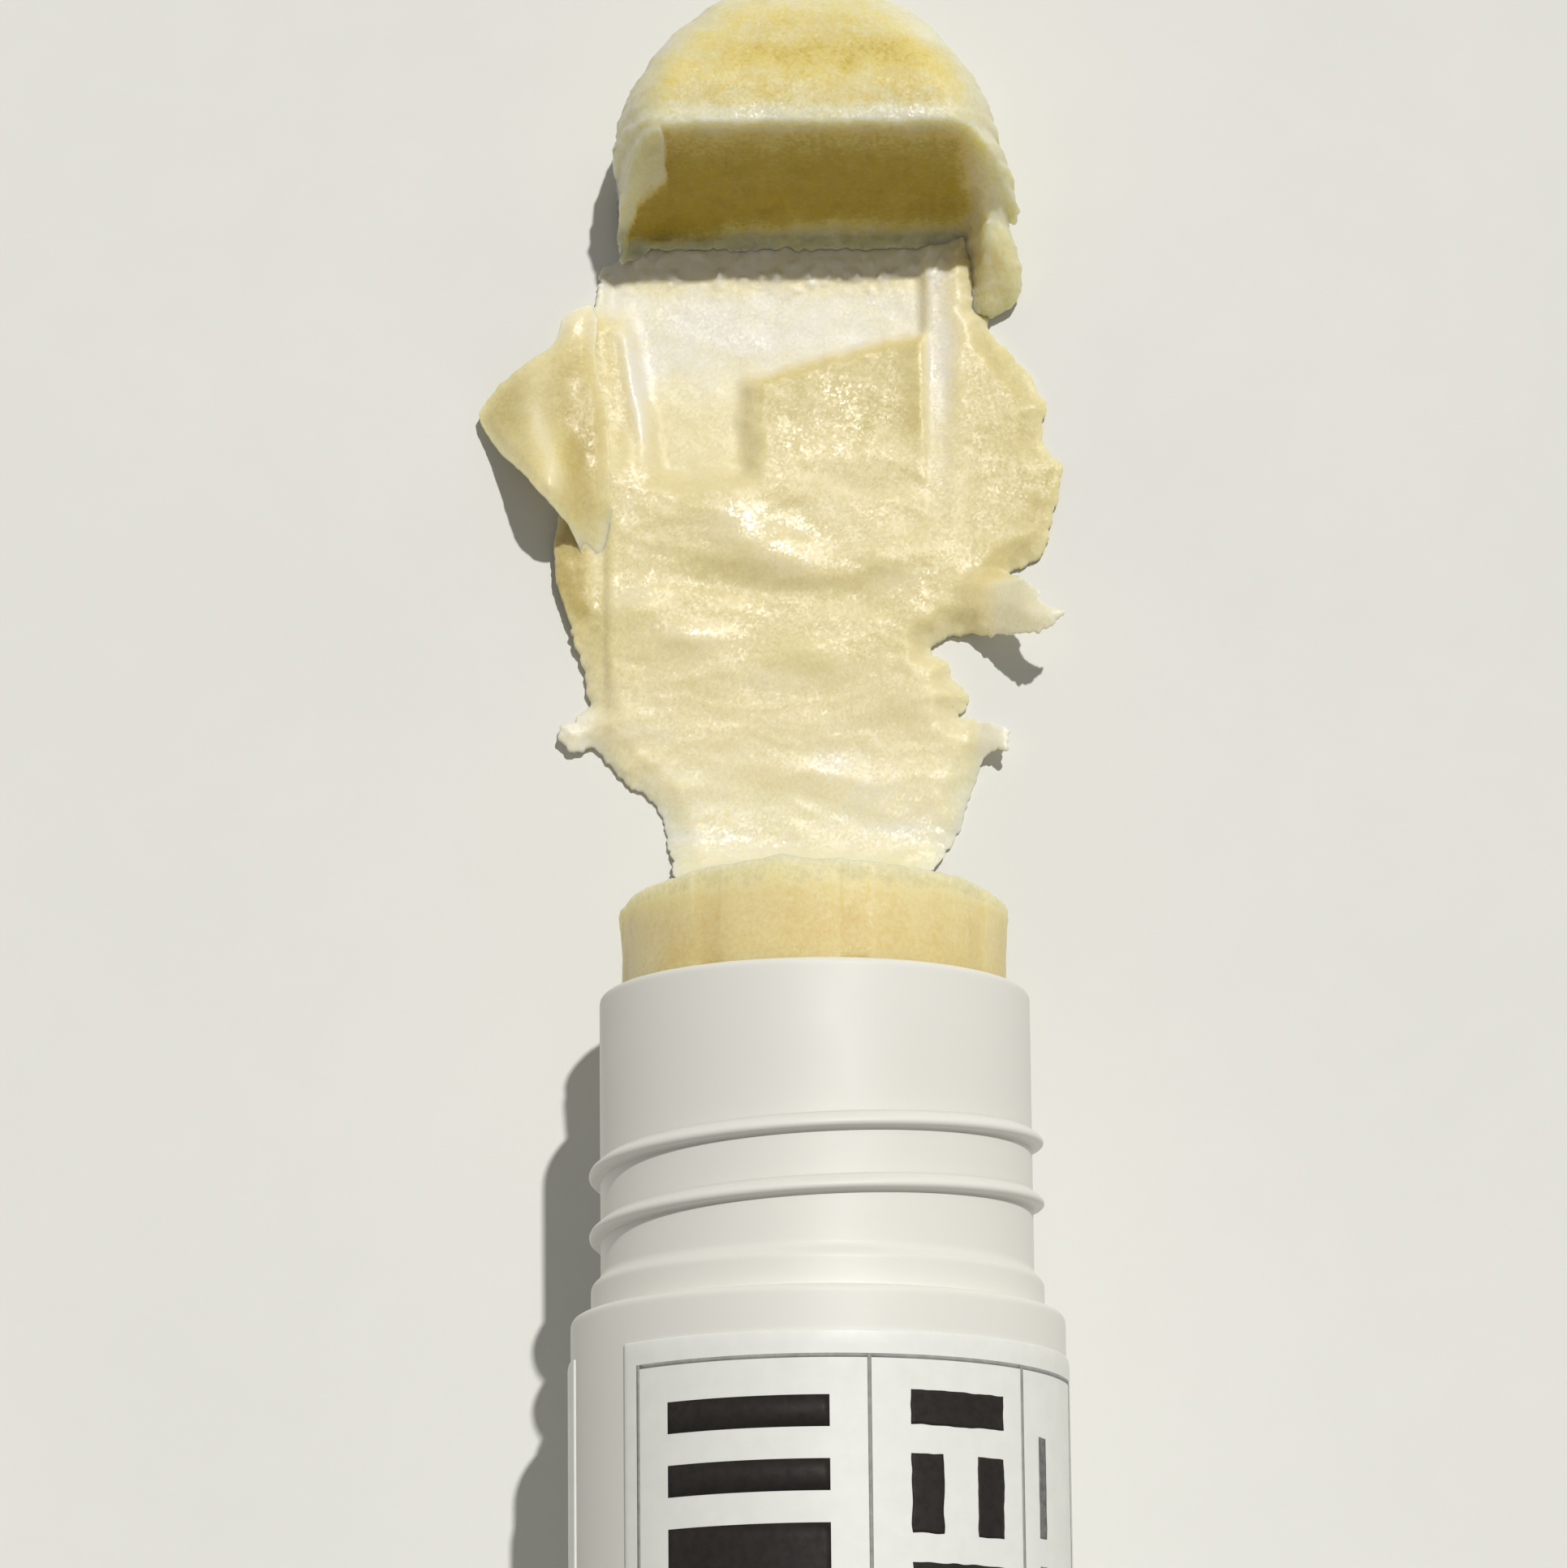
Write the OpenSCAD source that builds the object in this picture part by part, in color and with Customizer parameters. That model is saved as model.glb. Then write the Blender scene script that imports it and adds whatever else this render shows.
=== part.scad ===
// Twist-up lip balm lying on its side, wound out, with its stick broken off and crushed in front of the mouth.
// Millimetres. The tube's axis is Y with the mouth at +Y, Z is up, X is to the right as the camera looks.
// The origin is the centre of the dial's base face, on the tube's axis.

/* [Tube] */
// Outer diameter of the barrel's body
body_d = 16; // [15:0.1:20]
// Length of the barrel's body, from its foot to the shoulder
body_len = 45; // [42:0.5:60]
// Rounding of the shoulder's edge
shoulder_round = 0.4; // [0.2:0.05:0.5]
// Outer diameter of the threaded neck
neck_d = 14.04; // [13.8:0.02:14.4]
// Length of the neck, from shoulder to rim
neck_len = 10.6; // [10:0.1:14]
// Rounding of the neck's rim
rim_round = 0.3; // [0.1:0.05:0.4]
// Thickness of the neck's wall
neck_wall = 0.6; // [0.5:0.02:0.8]
// Step from the neck out to the collar bead at its foot
collar_step = 0.32; // [0.25:0.01:0.5]
// Height of the collar bead above the shoulder
collar_h = 1.05; // [0.8:0.05:1.4]
// Height of the slope between collar bead and neck
collar_slope = 0.3; // [0.2:0.05:0.5]
// Number of guide ribs inside the bore
rib_n = 8; // [4:1:10]
// Height of a guide rib above the bore's wall
rib_h = 0.25; // [0.15:0.05:0.35]
// Width of a guide rib
rib_w = 0.7; // [0.5:0.05:1]
// Distance from the rim down to the ribs' ends
rib_below_rim = 0.9; // [0.5:0.1:2]

/* [Cap thread] */
// Rise of the cap thread in one turn
thread_pitch = 2; // [1.8:0.05:2.2]
// Height of the cap thread above the neck
thread_h = 0.35; // [0.25:0.05:0.5]
// Width of the cap thread at its foot
thread_w = 0.6; // [0.4:0.05:1.2]
// Height above the shoulder where the lower turn crosses the top of the tube
thread_rise = 3.25; // [2.9:0.05:3.6]
// Sweep of the cap thread, in degrees
thread_sweep = 660; // [540:10:700]

/* [Label] */
// Thickness of the paper label
label_t = 0.1; // [0.06:0.01:0.15]
// Distance from the shoulder down to the label's edge
label_below_shoulder = 1.5; // [1:0.1:3]
// Distance from the body's foot up to the label's edge
label_above_foot = 1.5; // [1:0.1:4]
// Angle from the top of the tube to the label's starting edge, to the left
label_start = 49.7; // [40:0.1:60]
// Bare gap between the label's two ends, in degrees
label_gap = 26.8; // [10:0.1:40]
// Thickness of the printed ink
ink_t = 0.03; // [0.02:0.01:0.05]
// Size of the printed marks' unit
print_unit = 1; // [0.9:0.02:1.05]
// Width of the thin ruled lines
rule_w = 0.13; // [0.1:0.01:0.3]
// Distance from the label's edges to the ruled frame
rule_inset = 0.75; // [0.5:0.05:1.5]

/* [Dial] */
// Height of the dial's grip
dial_h = 7; // [5:0.5:10]
// Step from the barrel in to the tops of the grip ribs
dial_step = 0.1; // [0:0.05:0.5]
// Number of grip ribs
grip_n = 40; // [20:1:60]
// Height of a grip rib
grip_h = 0.25; // [0.15:0.05:0.4]
// Width of a grip rib
grip_w = 0.6; // [0.4:0.05:0.8]
// Gap between dial and barrel
dial_gap = 0.3; // [0.2:0.05:0.5]
// Depth of the ring groove under the dial
base_groove = 0.5; // [0.3:0.1:1]
// Outer diameter of the ring groove under the dial
base_groove_d = 11; // [8:0.5:11.5]
// Width of the ring groove under the dial
base_groove_w = 1; // [0.6:0.1:1.5]
// Length of the hub that snaps into the barrel
hub_len = 4.2; // [3:0.1:5]
// Running clearance of the hub in the bore, on the radius
hub_clear = 0.08; // [0.05:0.01:0.1]
// Height of the snap bead on the hub
snap_h = 0.3; // [0.2:0.05:0.4]
// Width of the snap bead
snap_w = 1; // [0.6:0.1:1.4]

/* [Spindle and elevator] */
// Diameter of the spindle's core
spindle_d = 2.6; // [2.2:0.1:3]
// Height of the spindle's thread
spindle_thread_h = 0.5; // [0.3:0.05:0.7]
// Rise of the spindle's thread in one turn
lead = 4; // [3.6:0.1:4.4]
// Width of the spindle's thread at its foot
spindle_thread_w = 1.6; // [1.2:0.1:1.8]
// Clearance between spindle and nut, on the radius
nut_clear = 0.1; // [0.08:0.01:0.15]
// Outer diameter of the elevator's nut
nut_d = 6.4; // [6:0.1:8]
// Length of the elevator's nut below its cup
nut_len = 6; // [5:0.5:8]
// Height of the elevator's cup
cup_h = 5; // [4:0.5:7]
// Thickness of the cup's floor
cup_floor = 1.2; // [0.8:0.1:2]
// Thickness of the cup's wall
cup_wall = 0.6; // [0.4:0.05:0.8]
// Distance from the rim down to the cup, wound out
cup_below_rim = 2.5; // [1:0.5:5]
// Length of spindle inside the nut, wound out
spindle_grip = 5; // [4:0.5:5.5]
// Clearance of the sliding pieces in the bore, on the radius
slide_clear = 0.1; // [0.06:0.01:0.15]

/* [Balm] */
// Length of the balm stub in front of the rim
stub_out = 3.1; // [2:0.1:8]
// Depth of the ragged break at the stub's end
break_depth = 0.5; // [0.3:0.1:1]
// Clearance of the balm round the spindle's thread
balm_clear = 0.3; // [0.3:0.05:0.6]
// Gap between the stub's end and the torn tongue of crushed balm
tear_gap = 0.3; // [0.2:0.05:0.5]
// Thickness of the crushed balm
crush_t = 1; // [0.8:0.05:1.4]
// Thickness of the translucent film in the flattened track
film_t = 0.3; // [0.2:0.05:0.5]
// Height of the torn tongue's end above the ground
tongue_lift = 2.6; // [2:0.1:4]
// Lift of the curled left lobe
lobe_lift = 2.2; // [1:0.1:3]
// Lift of the right flake's tip
flake_lift = 2.4; // [1:0.1:3]
// Height of the broken-off nose
nose_h = 7.4; // [6:0.1:9]
// Width of the broken-off nose
nose_w = 13.9; // [12:0.1:15]
// Length of the nose's rounded part
nose_len = 6.2; // [5:0.1:8]
// Width of the notch pressed into the nose
notch_w = 10.6; // [9:0.1:11]

/* [Hidden] */

$fn = 96;
eps = 0.01;

body_r = body_d / 2;
neck_r = neck_d / 2;
bore_r = neck_r - neck_wall;
collar_r = neck_r + collar_step;
foot_y = dial_h + dial_gap;
shoulder_y = foot_y + body_len;
rim_y = shoulder_y + neck_len;
label_r = body_r + label_t;
ground_z = -label_r;
guide_top = rim_y - rib_below_rim;

// Angles about the axis in the standing tube's own frame, where the side that lies uppermost is at 270 degrees
top_angle = 270;
label_from = top_angle - label_start;
label_sweep = 360 - label_gap;
// The ribs leave their marks on the stub to the left of the top and just right of it
rib_angle = top_angle - 33;

hub_r = bore_r - hub_clear;
hub_top = foot_y + hub_len;
snap_y = foot_y + hub_len / 2;
spindle_r = spindle_d / 2;
spindle_crest = spindle_r + spindle_thread_h;
cup_top = rim_y - cup_below_rim;
cup_foot = cup_top - cup_h;
nut_foot = cup_foot - nut_len;
spindle_tip = nut_foot + spindle_grip;
slide_r = bore_r - slide_clear;
nut_bore = spindle_crest + nut_clear;
balm_bore = spindle_crest + balm_clear;
stub_foot = cup_foot + cup_floor;
stub_end = rim_y + stub_out;
tongue_y = stub_end + tear_gap;

// The ribs are sunk this far into the bore's wall
rib_sink = 0.3;
// Spindle's thread: where its first turn starts, the space left at its foot, and its turns
spindle_angle = 0;
thread_foot = hub_top + spindle_thread_w / 2 + 0.1;
spindle_turns = (spindle_tip - hub_top - spindle_thread_w - 0.6) / lead;
// Nut's thread: height, turns, half its width at the crest and at the root
nut_thread_h = 0.4;
nut_turns = 0.8;
nut_crest_w = 0.75;
nut_root_w = 1;
nut_start = nut_foot + 1.4;
// Balm cast in the cup, and the break's ragged face sunk into its end
cup_fit = 0.02;
break_sink = 0.4;
break_step = 0.08;
// Crushed balm: its far end, rows and columns of points
smear_end = 28;
smear_rows = 70;
smear_cols = 24;
// Sides of the flattened track, the line where its bare film begins, and the thick patch beside it
track_left = -6.1;
track_right = 4;
film_from = 19.3;
patch_left = -1.8;
patch_from = 23.4;
patch_slope = 0.28;
// Nose of the stick, as distances beyond the rim, and the notch pressed into it
nose_foot = 25.4;
nose_back = 30;
nose_rings = 26;
nose_sides = 40;
nose_x = 0.4;
nose_widest = 3;
notch_left = -4.7;
notch_lean = 14;
notch_foot = 28.1;

// Lays the standing tube down, mouth towards +Y
module lay() { rotate([-90, 0, 0]) children(); }

// Faces of a skin over closed rings of n points each, rings numbered from 0 to last
function skin_faces(n, last) = concat(
    [[for (j = [0:n - 1]) j]],
    [[for (j = [n - 1:-1:0]) last * n + j]],
    [for (i = [0:last - 1], j = [0:n - 1]) [i * n + j, (i + 1) * n + j, (i + 1) * n + (j + 1) % n]],
    [for (i = [0:last - 1], j = [0:n - 1]) [i * n + j, (i + 1) * n + (j + 1) % n, i * n + (j + 1) % n]]
);

// Solid through closed rings of points, each going clockwise as seen from the first end
module skin(rings) {
    polyhedron(points = [for (ring = rings) each ring], faces = skin_faces(len(rings[0]), len(rings) - 1));
}

// Solid between a top and a bottom grid of points, both with rows towards +Y and columns towards +X
module slab(top, bottom) {
    rows = len(top);
    cols = len(top[0]);
    below = rows * cols;
    grid = [for (i = [0:rows - 2], j = [0:cols - 2]) i * cols + j];
    last = (rows - 1) * cols;
    polyhedron(
        points = concat([for (row = top) each row], [for (row = bottom) each row]),
        faces = concat(
            [for (k = grid) [k, k + cols, k + cols + 1]], [for (k = grid) [k, k + cols + 1, k + 1]],
            [for (k = grid) [below + k, below + k + cols + 1, below + k + cols]],
            [for (k = grid) [below + k, below + k + 1, below + k + cols + 1]],
            [for (i = [0:rows - 2]) each wall_faces((i + 1) * cols, i * cols, below)],
            [for (i = [0:rows - 2]) each wall_faces(i * cols + cols - 1, (i + 1) * cols + cols - 1, below)],
            [for (j = [0:cols - 2]) each wall_faces(j, j + 1, below)],
            [for (j = [0:cols - 2]) each wall_faces(last + j + 1, last + j, below)]
        ));
}
function wall_faces(a, b, below) = [[a, b, below + b], [a, below + b, below + a]];

// Ridge wound round the axis: profile points are [radius, height], taper is the run-out at each end in degrees
module helix_ridge(profile, pitch, from, sweep, height, step, taper) {
    count = ceil(sweep / step);
    root = profile[0][0];
    function size(a) = max(0.15, min(1, a / taper, (sweep - a) / taper));
    skin([for (i = [0:count]) let (a = i * sweep / count, s = size(a))
        [for (p = profile) let (r = root + (p[0] - root) * s)
            [r * cos(from + a), r * sin(from + a), height + pitch * a / 360 + p[1] * s]]]);
}

// Part of a tube's wall: inner radius, thickness, start angle, sweep, lowest height, height
module shell(r, t, from, sweep, low, high) {
    rotate([0, 0, from]) rotate_extrude(angle = sweep) translate([r, low]) square([t, high - low]);
}

// Guide ribs, or their notches where extra is a clearance
module ribs(low, high, extra) {
    for (i = [0:rib_n - 1])
        rotate([0, 0, rib_angle + i * 360 / rib_n])
            translate([bore_r - rib_h - extra, -rib_w / 2 - extra, low])
                cube([rib_h + extra + rib_sink, rib_w + 2 * extra, high - low]);
}

module barrel() {
    thread_root = neck_r - 0.15;
    color("gainsboro") lay() difference() {
        union() {
            rotate_extrude() polygon([
                [bore_r, foot_y], [body_r - shoulder_round / 2, foot_y], [body_r, foot_y + shoulder_round / 2],
                for (a = [0:15:90]) [body_r - shoulder_round * (1 - cos(a)),
                    shoulder_y - shoulder_round * (1 - sin(a))],
                [collar_r, shoulder_y], [collar_r, shoulder_y + collar_h - 0.1],
                [collar_r - 0.1, shoulder_y + collar_h], [neck_r, shoulder_y + collar_h + collar_slope],
                for (a = [0:15:90]) [neck_r - rim_round * (1 - cos(a)), rim_y - rim_round * (1 - sin(a))],
                [bore_r, rim_y]
            ]);
            ribs(hub_top + dial_gap, guide_top, 0);
            helix_ridge(
                concat([[thread_root, -thread_w / 2], [thread_root, thread_w / 2]],
                    [for (a = [75:-30:-75]) [neck_r + thread_h * cos(a), thread_w / 2 * sin(a)]]),
                thread_pitch, top_angle - 150, thread_sweep,
                shoulder_y + thread_rise - thread_pitch * 150 / 360, 15, 30);
        }
        // Groove that the dial's snap bead turns in
        rotate_extrude() translate([0, snap_y])
            polygon([[0, -snap_w / 2 - snap_h], [bore_r, -snap_w / 2 - snap_h], [bore_r + snap_h, -snap_w / 2],
                [bore_r + snap_h, snap_w / 2], [bore_r, snap_w / 2 + snap_h], [0, snap_w / 2 + snap_h]]);
    }
}

module label() {
    color("whitesmoke") lay()
        shell(body_r, label_t, label_from, label_sweep, foot_y + label_above_foot, shoulder_y - label_below_shoulder);
}

// Ink on the label, in millimetres round the tube from the top line and down from the ruled frame's upper line;
// lap makes it thicker on both sides, for cutting
module ink(across, down, wide, long, lap = 0) {
    degree = 360 / (2 * PI * label_r);
    high = shoulder_y - label_below_shoulder - rule_inset - down;
    shell(label_r - lap, ink_t + 2 * lap, top_angle + across * degree, wide * degree, high - long, high);
}

// Printed mark, in units of the print
module mark(across, down, wide, long) {
    ink(across * print_unit, down * print_unit, wide * print_unit, long * print_unit);
}

module label_print() {
    low = foot_y + label_above_foot + rule_inset;
    drop = shoulder_y - label_below_shoulder - rule_inset - low;
    // Ruled frame and the lines between its columns
    columns = print_unit * [-6.4, 1.5, 7.3, 11.4];
    // Bold bars of the wide column, each with its length along the tube
    bold = [1, 1, 2.2, 1, 2.2, 1, 1, 2.2, 1, 1, 2.2, 1, 1, 2.2, 1, 1];
    bold_gap = 1;
    color("dimgray") lay() {
        difference() {
            ink(columns[0], 0, columns[3] + rule_w - columns[0], drop);
            for (i = [0:2])
                ink(columns[i] + rule_w, rule_w, columns[i + 1] - columns[i] - rule_w, drop - 2 * rule_w, eps);
        }
    }
    color("black") lay() {
        for (i = [0:len(bold) - 1])
            let (start = 1.3 + sum_to(bold, i) + i * bold_gap)
                mark(-5.1, start, 5.4, bold[i]);
        for (i = [0:6]) mark(2.9, 1.1 + i * 5.4, 3.5, 1.1);
        for (i = [0:6]) mark(5.3, 3.1 + i * 5.4, 1.1, 2.5);
        for (i = [0:5]) mark(2.9, 3.1 + i * 5.4, 1.1, 2.5);
    }
    color("gray") lay() for (i = [0:8]) mark(8.3, 2.2 + i * 4.1, 0.45, 3.2 - i % 3 * 0.7);
}
function sum_to(list, n) = n == 0 ? 0 : list[n - 1] + sum_to(list, n - 1);

module dial_screw() {
    core_r = body_r - dial_step - grip_h;
    edge = 0.5;
    grip_edge = 0.8;
    color("white") lay() {
        difference() {
            union() {
                rotate_extrude() polygon([
                    [0, 0], [core_r - edge, 0], [core_r, edge], [core_r, dial_h - edge], [core_r - edge, dial_h],
                    [hub_r, dial_h], [hub_r, snap_y - snap_w / 2], [hub_r + snap_h - 0.05, snap_y - snap_w / 2 + 0.2],
                    [hub_r + snap_h - 0.05, snap_y + snap_w / 2 - 0.2], [hub_r, snap_y + snap_w / 2],
                    [hub_r, hub_top - edge], [hub_r - edge, hub_top], [spindle_r, hub_top],
                    [spindle_r, spindle_tip - edge], [spindle_r - edge, spindle_tip], [0, spindle_tip]
                ]);
                for (i = [0:grip_n - 1])
                    rotate([0, 0, i * 360 / grip_n])
                        translate([core_r - grip_h, -grip_w / 2, grip_edge])
                            cube([2 * grip_h, grip_w, dial_h - 2 * grip_edge]);
                helix_ridge(
                    [[spindle_r - 0.2, -spindle_thread_w / 2 - 0.05], [spindle_r - 0.2, spindle_thread_w / 2 + 0.05],
                        [spindle_crest, spindle_thread_w / 2 - 0.3], [spindle_crest, 0.3 - spindle_thread_w / 2]],
                    lead, spindle_angle, spindle_turns * 360, thread_foot, 15, 40);
            }
            // Ring groove under the dial
            rotate_extrude() translate([base_groove_d / 2 - base_groove_w, -eps])
                square([base_groove_w, base_groove + eps]);
        }
    }
}

module elevator() {
    // The nut's thread runs midway between two turns of the spindle's thread
    turns_up = (nut_start - lead / 2 - thread_foot) / lead;
    color("white") lay() {
        difference() {
            union() {
                translate([0, 0, cup_foot]) cylinder(r = slide_r, h = cup_h);
                translate([0, 0, nut_foot]) cylinder(d = nut_d, h = nut_len + eps);
            }
            translate([0, 0, nut_foot - eps]) cylinder(r = nut_bore, h = nut_len + cup_floor + 2 * eps);
            translate([0, 0, stub_foot]) cylinder(r = slide_r - rib_h - cup_wall, h = cup_h);
            ribs(cup_foot - eps, cup_top + eps, slide_clear);
        }
        helix_ridge(
            [[nut_bore - nut_thread_h, -nut_crest_w], [nut_bore - nut_thread_h, nut_crest_w],
                [nut_bore + 0.25, nut_root_w], [nut_bore + 0.25, -nut_root_w]],
            lead, spindle_angle + turns_up * 360, nut_turns * 360, nut_start, 15, 20);
    }
}

// Ragged face of the break: rings from the edge inwards, raised and lowered by a slow wave
module break_face(r) {
    rings = [1, 0.95, 0.85, 0.7, 0.5, 0.25];
    sides = 48;
    function wave(a, k) = 0.5 + 0.25 * sin(3 * a + 60 * k) + 0.15 * sin(7 * a + 130 * k) + 0.1 * sin(11 * a);
    function ring(q, high) = [for (j = [0:sides - 1]) let (a = j * 360 / sides) [q * cos(a), q * sin(a), high(a)]];
    skin(concat(
        [ring(rings[5] * r, function(a) 0), ring(r, function(a) 0)],
        [for (k = [0:len(rings) - 1])
            ring(rings[k] * r, function(a) break_sink + break_depth * (0.35 + (k == 0 ? 0 : 0.65 * wave(a, k))))]
    ));
}

module balm_stub() {
    inner_r = slide_r - rib_h - cup_wall - cup_fit;
    break_y = stub_end - break_depth;
    color("khaki") lay() difference() {
        union() {
            translate([0, 0, stub_foot]) cylinder(r = inner_r, h = cup_top - stub_foot + eps);
            translate([0, 0, cup_top]) cylinder(r = slide_r, h = break_y - cup_top);
            translate([0, 0, break_y - break_sink]) break_face(slide_r - break_step);
        }
        translate([0, 0, stub_foot - eps]) cylinder(r = balm_bore, h = stub_end - stub_foot + 1);
        ribs(cup_top - eps, stub_end + 1, slide_clear);
    }
}

// Left and right edges of the crushed balm, as distance beyond the rim and distance from the axis
smear_left = [
    [3.4, -3.9], [5.3, -4.6], [7.6, -5], [8.9, -6.2], [10.1, -7.4], [10.5, -8.6], [11.1, -8.4], [11.8, -7.6],
    [13.9, -8], [16, -8.7], [17.9, -8.7], [18.5, -9.1], [19.7, -10], [21.4, -11.1], [22.1, -11.3],
    [23.4, -10], [24.2, -8.8], [25.2, -8.4], [25.8, -7.3], [28, -6.7]
];
smear_right = [
    [3.4, 3.3], [5.5, 3.7], [6.3, 4.4], [7.2, 5], [9.2, 5.7], [9.8, 6], [10, 6.8], [10.7, 6.7],
    [11.1, 5.5], [12.1, 5.4], [12.6, 4.7], [13.4, 4.2], [13.7, 4.6], [13.8, 8.1], [14.3, 8.7], [14.9, 7.9],
    [15.9, 7], [16.4, 7.2], [16.9, 8], [19, 8.6], [20, 8.8], [20.7, 8.1], [22.2, 8.3],
    [23, 7.9], [24, 7.1], [25.3, 5.6], [26.2, 5.1], [28, 5]
];

function blend(from, to, v) = let (t = max(0, min(1, (v - from) / (to - from)))) t * t * (3 - 2 * t);

// How far the film is bare, 1 in the flattened track and 0 in the thick balm round it
function bare(x, d) = let (line = x < patch_left ? film_from : patch_from + patch_slope * (x - patch_left))
    blend(line, line + 0.8, d) * blend(track_left - 0.5, track_left + 0.1, x)
        * (1 - blend(track_right + 0.9, track_right + 1.5, x));

// Lift of the balm's underside off the ground
function lift(x, d) =
    let (tongue = (tongue_lift - crush_t) * (1 - blend(stub_out, stub_out + 4.2, d)),
        lobe = lobe_lift * blend(21.8, 18.1, d) * blend(17.8, 18.1, d) * blend(-6.9, -8.6, x),
        flake = flake_lift * blend(4.6, 8.7, x) * blend(13.5, 13.8, d) * blend(16.2, 15, d))
    tongue + lobe + flake;

// Thickness of the balm: thin film in the track, a slow roll elsewhere, a rim along the track's sides
function thick(x, d) =
    let (roll = 0.14 * sin(70 * d + 12 * x) + 0.1 * sin(110 * d - 25 * x),
        rim = 0.25 * exp(-pow((x - track_left + 0.3) / 0.35, 2)) * blend(10, 15, d),
        balm = crush_t * (0.75 + 0.25 * blend(6, 14, d)) + roll)
    film_t + (balm - film_t) * (1 - bare(x, d)) + rim;

module balm_smear() {
    function along(i) = tongue_y - rim_y + (smear_end - tongue_y + rim_y) * i / smear_rows;
    function across(d, j) = let (left = lookup(d, smear_left), right = lookup(d, smear_right))
        left + (right - left) * j / smear_cols;
    // The balm thins out towards its two edges
    function edge(j) = 0.45 + 0.55 * min(1, 4 * min(j, smear_cols - j) / smear_cols);
    color("lemonchiffon") slab(
        [for (i = [0:smear_rows]) [for (j = [0:smear_cols]) let (d = along(i), x = across(d, j))
            [x, rim_y + d, ground_z + lift(x, d) + thick(x, d) * edge(j)]]],
        [for (i = [0:smear_rows]) [for (j = [0:smear_cols]) let (d = along(i), x = across(d, j))
            [x, rim_y + d, ground_z + lift(x, d)]]]
    );
}

// Nose of the stick: rounded tip towards +Y, two legs towards the tube on either side of the pressed notch

// Height of the nose along its length: low legs, a steep rise to the full height, then the rounded tip
function nose_top(d) = let (t = max(0, (d - nose_back) / nose_len))
    d > nose_back ? nose_widest + (nose_h - nose_widest) * sqrt(max(0, 1 - t * t))
        : 1 + (nose_h - 1) * blend(nose_foot - 1.6, nose_back, d);
function nose_half(d) = let (t = max(0, (d - nose_back) / nose_len))
    d > nose_back ? nose_w / 2 * sqrt(max(0, 1 - t * t)) : nose_w / 2 - 0.3 * blend(nose_back, nose_foot, d);

module balm_nose() {
    color("khaki") difference() {
        skin([for (i = [0:nose_rings])
            let (u = sin(90 * i / nose_rings),
                d = nose_foot + (nose_back + nose_len - nose_foot) * u,
                half = max(0.3, nose_half(d)), high = nose_top(d),
                shrink = d > nose_back ? half / (nose_w / 2) : 1,
                mid = min(nose_widest, 0.45 * high))
            [for (j = [0:nose_sides - 1])
                let (a = 180 - j * 360 / nose_sides, c = cos(a), s = sin(a))
                [nose_x + half * sign(c) * pow(abs(c), s < 0 ? 0.7 : 0.95), rim_y + d, ground_z + (s >= 0
                    ? mid + (high - mid) * pow(s, 0.85)
                    : mid * (1 - shrink * pow(-s, 0.5)))]]
        ]);
        // Notch with a leaning back wall, open towards the tube
        translate([notch_left, rim_y + notch_foot, ground_z - 1]) rotate([-notch_lean, 0, 0])
            translate([0, -nose_w, -nose_h]) cube([notch_w, nose_w, 4 * nose_h]);
        // The left leg stops short of the film
        translate([notch_left - nose_h, rim_y + notch_foot - nose_h, ground_z - 1])
            cube([nose_h + eps, nose_h, 2 * nose_h]);
    }
}

barrel();
label();
label_print();
dial_screw();
elevator();
balm_stub();
balm_smear();
balm_nose();
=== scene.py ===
"""Looks of a twist-up lip balm lying on its side, its stick broken off and crushed in front of the mouth.

Lengths in this file are millimetres in the part's frame, and the meshes are scaled to metres at the end.
The tube's axis is +Y towards the mouth, and Z is up. Angles round the tube are those of the standing tube:
270 degrees is the uppermost side, 0 the right-hand side and 180 the left.
"""
import math

import bpy
import bmesh
import numpy as np
from mathutils import Matrix, Vector
from mathutils.geometry import delaunay_2d_cdt


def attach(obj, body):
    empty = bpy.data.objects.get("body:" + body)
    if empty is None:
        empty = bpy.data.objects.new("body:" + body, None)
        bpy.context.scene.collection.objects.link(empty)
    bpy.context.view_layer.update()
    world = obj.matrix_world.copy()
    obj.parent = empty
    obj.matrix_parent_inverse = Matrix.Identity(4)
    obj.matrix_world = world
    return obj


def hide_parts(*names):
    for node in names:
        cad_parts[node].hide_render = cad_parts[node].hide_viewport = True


MM = 0.001
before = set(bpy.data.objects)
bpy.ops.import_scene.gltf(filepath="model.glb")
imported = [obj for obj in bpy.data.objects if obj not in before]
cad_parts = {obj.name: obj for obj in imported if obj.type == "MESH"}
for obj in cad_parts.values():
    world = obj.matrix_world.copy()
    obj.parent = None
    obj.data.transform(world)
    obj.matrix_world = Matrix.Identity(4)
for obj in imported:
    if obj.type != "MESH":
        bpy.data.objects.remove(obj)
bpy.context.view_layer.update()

# Sizes shared with the part's source
BODY_R, NECK_R, BORE_R, COLLAR_R = 8.0, 7.02, 6.42, 7.34
FOOT_Y, SHOULDER_Y, RIM_Y = 7.3, 52.3, 62.9
LABEL_R = 8.1
LABEL_LOW, LABEL_HIGH = 8.8, 50.8
GROUND = -8.1
TOP = 270.0
LABEL_FROM, LABEL_SWEEP = TOP - 49.7, 333.2
RIB_N, RIB_W, RIB_ANGLE = 8, 0.7, TOP - 33
RIB_H = 0.12  # 0.25 in the source, lower here to clear the stub when it is drawn in
HUB_R, HUB_TOP, SNAP_Y, SNAP_H, SNAP_W = 6.34, 11.5, 9.4, 0.3, 1.0
SPINDLE_R, SPINDLE_TIP, LEAD = 1.3, 54.4, 4.0
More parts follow.
